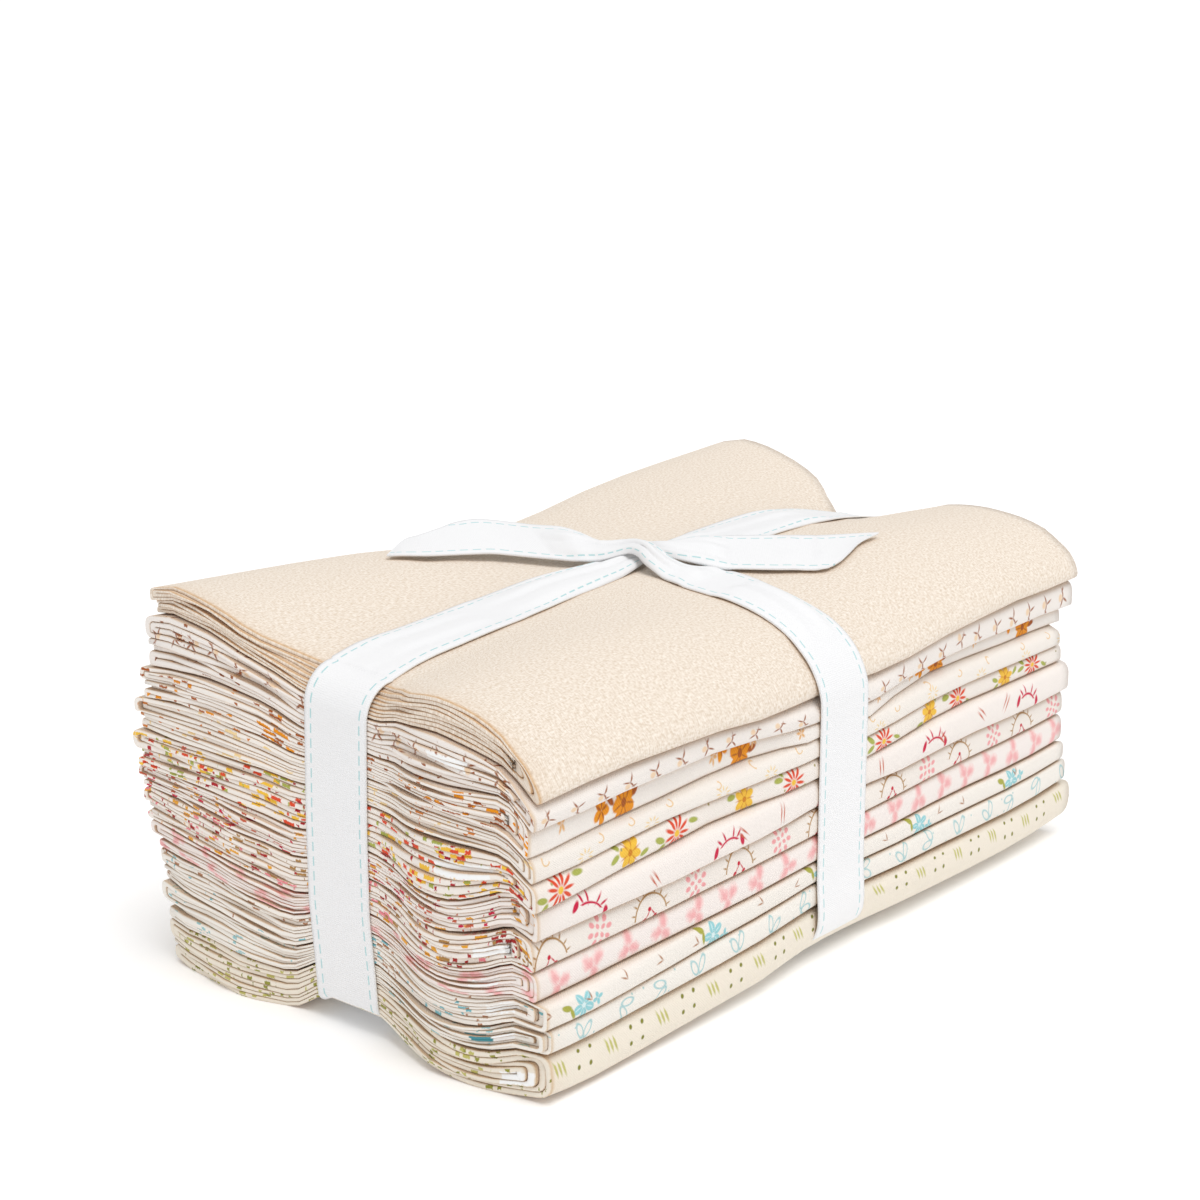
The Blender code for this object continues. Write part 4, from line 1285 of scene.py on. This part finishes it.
def look_blush(cotton):
    soft, strong = linear(246, 194, 192), linear(240, 162, 165)
    for end in (False, True):
        if end:
            cotton.on_near_end()
            x, y, _ = cotton.repeat(1.25, 0.62, 22.0, turn=2.4, jitter=(0.4, 0.3))
        else:
            cotton.on_band()
            x, y, _ = cotton.repeat(1.18, 1.15, 21.0, shift=(0.1, 0.58), turn=2.4, jitter=(0.1, 0.1))
        wobble = (noise(x, y, 7.0, 2.0, 5.0) - 0.5) * 0.18
        cotton.stamp(soft, spokes(x, y, 3, 0.19, 0.2, 0.15) + wobble, 0.09, strength=0.75)
        cotton.stamp(strong, spokes(x, y, 3, 0.17, 0.12, 0.07) + wobble, 0.07, strength=0.65)
    cotton.selvage(4.4, 5.2, 0.0, 0.1)
    return printed(cotton)


def look_posy(cotton):
    blue, olive, brown = linear(150, 208, 214), linear(172, 172, 74), linear(176, 124, 88)
    cotton.on_band()
    x, y, _ = cotton.repeat(4.5, 1.6, 23.0, shift=(3.6, 0.86), turn=0.6, jitter=(0.3, 0.06))
    petals = spokes(x, y, 5, 0.2, 0.15, 0.1)
    cotton.stamp(blue, petals.least(spokes(x + 0.46, y + 0.1, 4, 0.09, 0.08, 0.05)))
    eye = disc(x, y, (0.0, 0.0), 0.055).least(spokes(x, y, 5, 0.2, 0.08, 0.014))
    cotton.stamp(linear(216, 238, 240), eye)
    leaves = blade(x, y, (0.52, 0.22), 35, 0.17, 0.075).least(blade(x, y, (0.38, 0.02), 75, 0.16, 0.05))
    cotton.stamp(olive, leaves)
    x, y, draw = cotton.repeat(1.3, 0.9, 24.0, shift=(0.7, 0.4), turn=3.0, jitter=(0.5, 0.2))
    cotton.stamp(brown, blade(x.size(), y, (0.05, 0.0), 62, 0.1, 0.02), when=draw[0].above(0.45))
    cotton.on_near_end()
    cotton.flecks(linear(122, 186, 196), 0.4, 0.1, 55.0, 0.12)
    cotton.flecks(brown, 0.32, 0.1, 56.0, 0.18)
    cotton.selvage(4.75, 5.6, 0.0, 0.12)
    return printed(cotton)


def look_aqua(cotton):
    aqua = linear(156, 202, 206)
    cotton.on_band()
    x, y, draw = cotton.repeat(1.4, 0.95, 26.0, shift=(0.4, 0.5), turn=5.0, jitter=(0.4, 0.12))
    loops = ring(blade(x.size(), y, (0.13, 0.0), 62, 0.2, 0.09), 0.016)
    cotton.stamp(aqua, loops, when=draw[0].above(0.15), strength=0.9)
    x, y, draw = cotton.repeat(0.5, 0.42, 27.0, jitter=(0.3, 0.25))
    cotton.stamp(linear(176, 208, 208), disc(x, y, (0.0, 0.0), 0.026), when=draw[1].above(0.5))
    cotton.on_near_end()
    cotton.flecks(aqua, 0.34, 0.08, 57.0, 0.26)
    cotton.selvage(4.86, 5.45, 0.0, 0.1)
    teal = ((cotton.x - 4.56).size() - 0.3).most((cotton.y - 0.02).size() - 0.09)
    cotton.stamp(linear(70, 146, 160), teal, 0.04)
    return printed(cotton)


def look_dots(cotton):
    cotton.on_band()
    x, y, _ = cotton.repeat(1.8, 1.5, 29.0, shift=(0.3, 0.68), stagger=0.0, jitter=(0.06, 0.06))
    dots = disc((x + y * 0.12).size(), y.size(), (0.2, 0.17), 0.05)
    cotton.stamp(linear(128, 128, 40), dots)
    x, y, _ = cotton.repeat(1.8, 1.5, 30.0, shift=(1.2, 0.68), stagger=0.0, jitter=(0.06, 0.06))
    step = x / 0.13
    near = x - step.math("ROUND", step).least(1.0).most(-1.0) * 0.13
    cotton.stamp(linear(196, 192, 116), blade(near, y, (0.0, 0.0), 68, 0.18, 0.034))
    cotton.on_near_end()
    cotton.flecks(linear(150, 148, 62), 0.26, 0.12, 58.0, 0.34)
    cotton.flecks(linear(196, 190, 110), 0.34, 0.12, 59.0, 0.3)
    cotton.selvage(5.1, 6.0, -0.1, 0.14)
    return printed(cotton)


LOOKS = {
    "cloth_01_oatmeal": (look_oatmeal, linear(246, 232, 212)),
    "cloth_02_twig": (look_twig, linear(243, 236, 230)),
    "cloth_03_amber": (look_amber, linear(244, 237, 230)),
    "cloth_04_straw": (look_straw, linear(245, 238, 230)),
    "cloth_05_sprig": (look_sprig, linear(244, 236, 228)),
    "cloth_06_branch": (look_branch, linear(245, 237, 231)),
    "cloth_07_wreath": (look_wreath, linear(244, 236, 228)),
    "cloth_08_blush": (look_blush, linear(245, 236, 231)),
    "cloth_09_posy": (look_posy, linear(243, 237, 229)),
    "cloth_10_aqua": (look_aqua, linear(243, 238, 230)),
    "cloth_11_dots": (look_dots, linear(240, 231, 216)),
}


# The ribbon's trim and weave, in centimetres
TRIM_INSET = 0.21
TRIM_HALF = 0.018
DASH_PITCH = 0.355
DASH_HALF = 0.31
RIB_ACROSS = 0.045
RIB_ALONG = 0.05


def ribbon_look():
    """White woven tape with a stitched-looking dashed line along both edges."""
    tape = Cotton("ribbon_look", linear(243, 243, 244), 0.6)
    along, across = tape.path, tape.along
    edge = (RIBBON_WIDTH / 20 - across.size() - TRIM_INSET).size() - TRIM_HALF
    dashes = along / DASH_PITCH
    step = dashes - dashes.math("FLOOR", dashes)
    dash = (step - 0.5).size() - DASH_HALF
    tape.stamp(linear(168, 214, 216), edge.most(dash * DASH_PITCH))
    turn = across * (2 * math.pi / RIB_ACROSS)
    rib = along * (2 * math.pi / RIB_ALONG)
    height = turn.math("SINE", turn) * 0.4 + rib.math("SINE", rib) * 0.6
    return tape.finish(height, 0.00003)


def make_camera():
    """The camera fitted to the photograph."""
    data = bpy.data.cameras.new("camera")
    data.lens = CAMERA_LENS
    data.sensor_width = SENSOR
    data.clip_start = 0.01
    data.clip_end = 20.0
    camera = bpy.data.objects.new("camera", data)
    place = Vector((np.array(CAMERA_PLACE) + FOOTPRINT_SHIFT) * MM)
    target = Vector((np.array(CAMERA_TARGET) + FOOTPRINT_SHIFT) * MM)
    camera.location = place
    camera.rotation_mode = "QUATERNION"
    camera.rotation_quaternion = (target - place).to_track_quat("-Z", "Y")
    bpy.context.scene.collection.objects.link(camera)
    bpy.context.scene.camera = camera


def make_floor():
    """Matt white floor that glows a little, so that it melts into the white backdrop."""
    mesh = bpy.data.meshes.new("floor")
    half = FLOOR_HALF
    corners = [(-half, -half, 0), (half, -half, 0), (half, half, 0), (-half, half, 0)]
    mesh.from_pydata(corners, [], [(0, 1, 2, 3)])
    floor = bpy.data.objects.new("floor", mesh)
    bpy.context.scene.collection.objects.link(floor)
    material = bpy.data.materials.new("floor")
    material.use_nodes = True
    shader = material.node_tree.nodes["Principled BSDF"]
    shader.inputs["Base Color"].default_value = WHITE
    shader.inputs["Roughness"].default_value = 0.9
    shader.inputs["Emission Color"].default_value = WHITE
    shader.inputs["Emission Strength"].default_value = FLOOR_GLOW
    mesh.materials.append(material)


def make_sky():
    """Even white sky, brighter where the camera sees it than where it lights the bundle."""
    world = bpy.data.worlds.new("studio")
    world.use_nodes = True
    tree = world.node_tree
    sky = tree.nodes["Background"]
    sky.inputs["Color"].default_value = WHITE
    path = tree.nodes.new("ShaderNodeLightPath")
    scale = tree.nodes.new("ShaderNodeMapRange")
    scale.inputs["To Min"].default_value = SKY_LIGHT
    scale.inputs["To Max"].default_value = BACKDROP_LIGHT
    tree.links.new(path.outputs["Is Camera Ray"], scale.inputs["Value"])
    tree.links.new(scale.outputs["Result"], sky.inputs["Strength"])
    bpy.context.scene.world = world


def make_key():
    """Soft key light from the front."""
    data = bpy.data.lights.new("key", "SUN")
    data.energy = KEY_LIGHT
    data.angle = math.radians(KEY_SOFTNESS)
    key = bpy.data.objects.new("key", data)
    key.rotation_mode = "QUATERNION"
    key.rotation_quaternion = Vector(KEY_FROM).to_track_quat("Z", "Y")
    key.location = (0, 0, 1)
    bpy.context.scene.collection.objects.link(key)


def main():
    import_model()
    bpy.context.scene.view_settings.view_transform = "Standard"
    make_camera()
    for index, cloth in enumerate(CLOTHS):
        obj = make_cloth(index)
        look, ground = LOOKS[cloth.name]
        obj.data.materials.append(look(Cotton(cloth.name + "_look", ground)))
        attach(obj, "root")
        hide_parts(cloth.name)
    ribbon = make_ribbon()
    ribbon.data.materials.append(ribbon_look())
    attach(ribbon, "root")
    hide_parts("ribbon")
    make_floor()
    make_sky()
    make_key()


main()
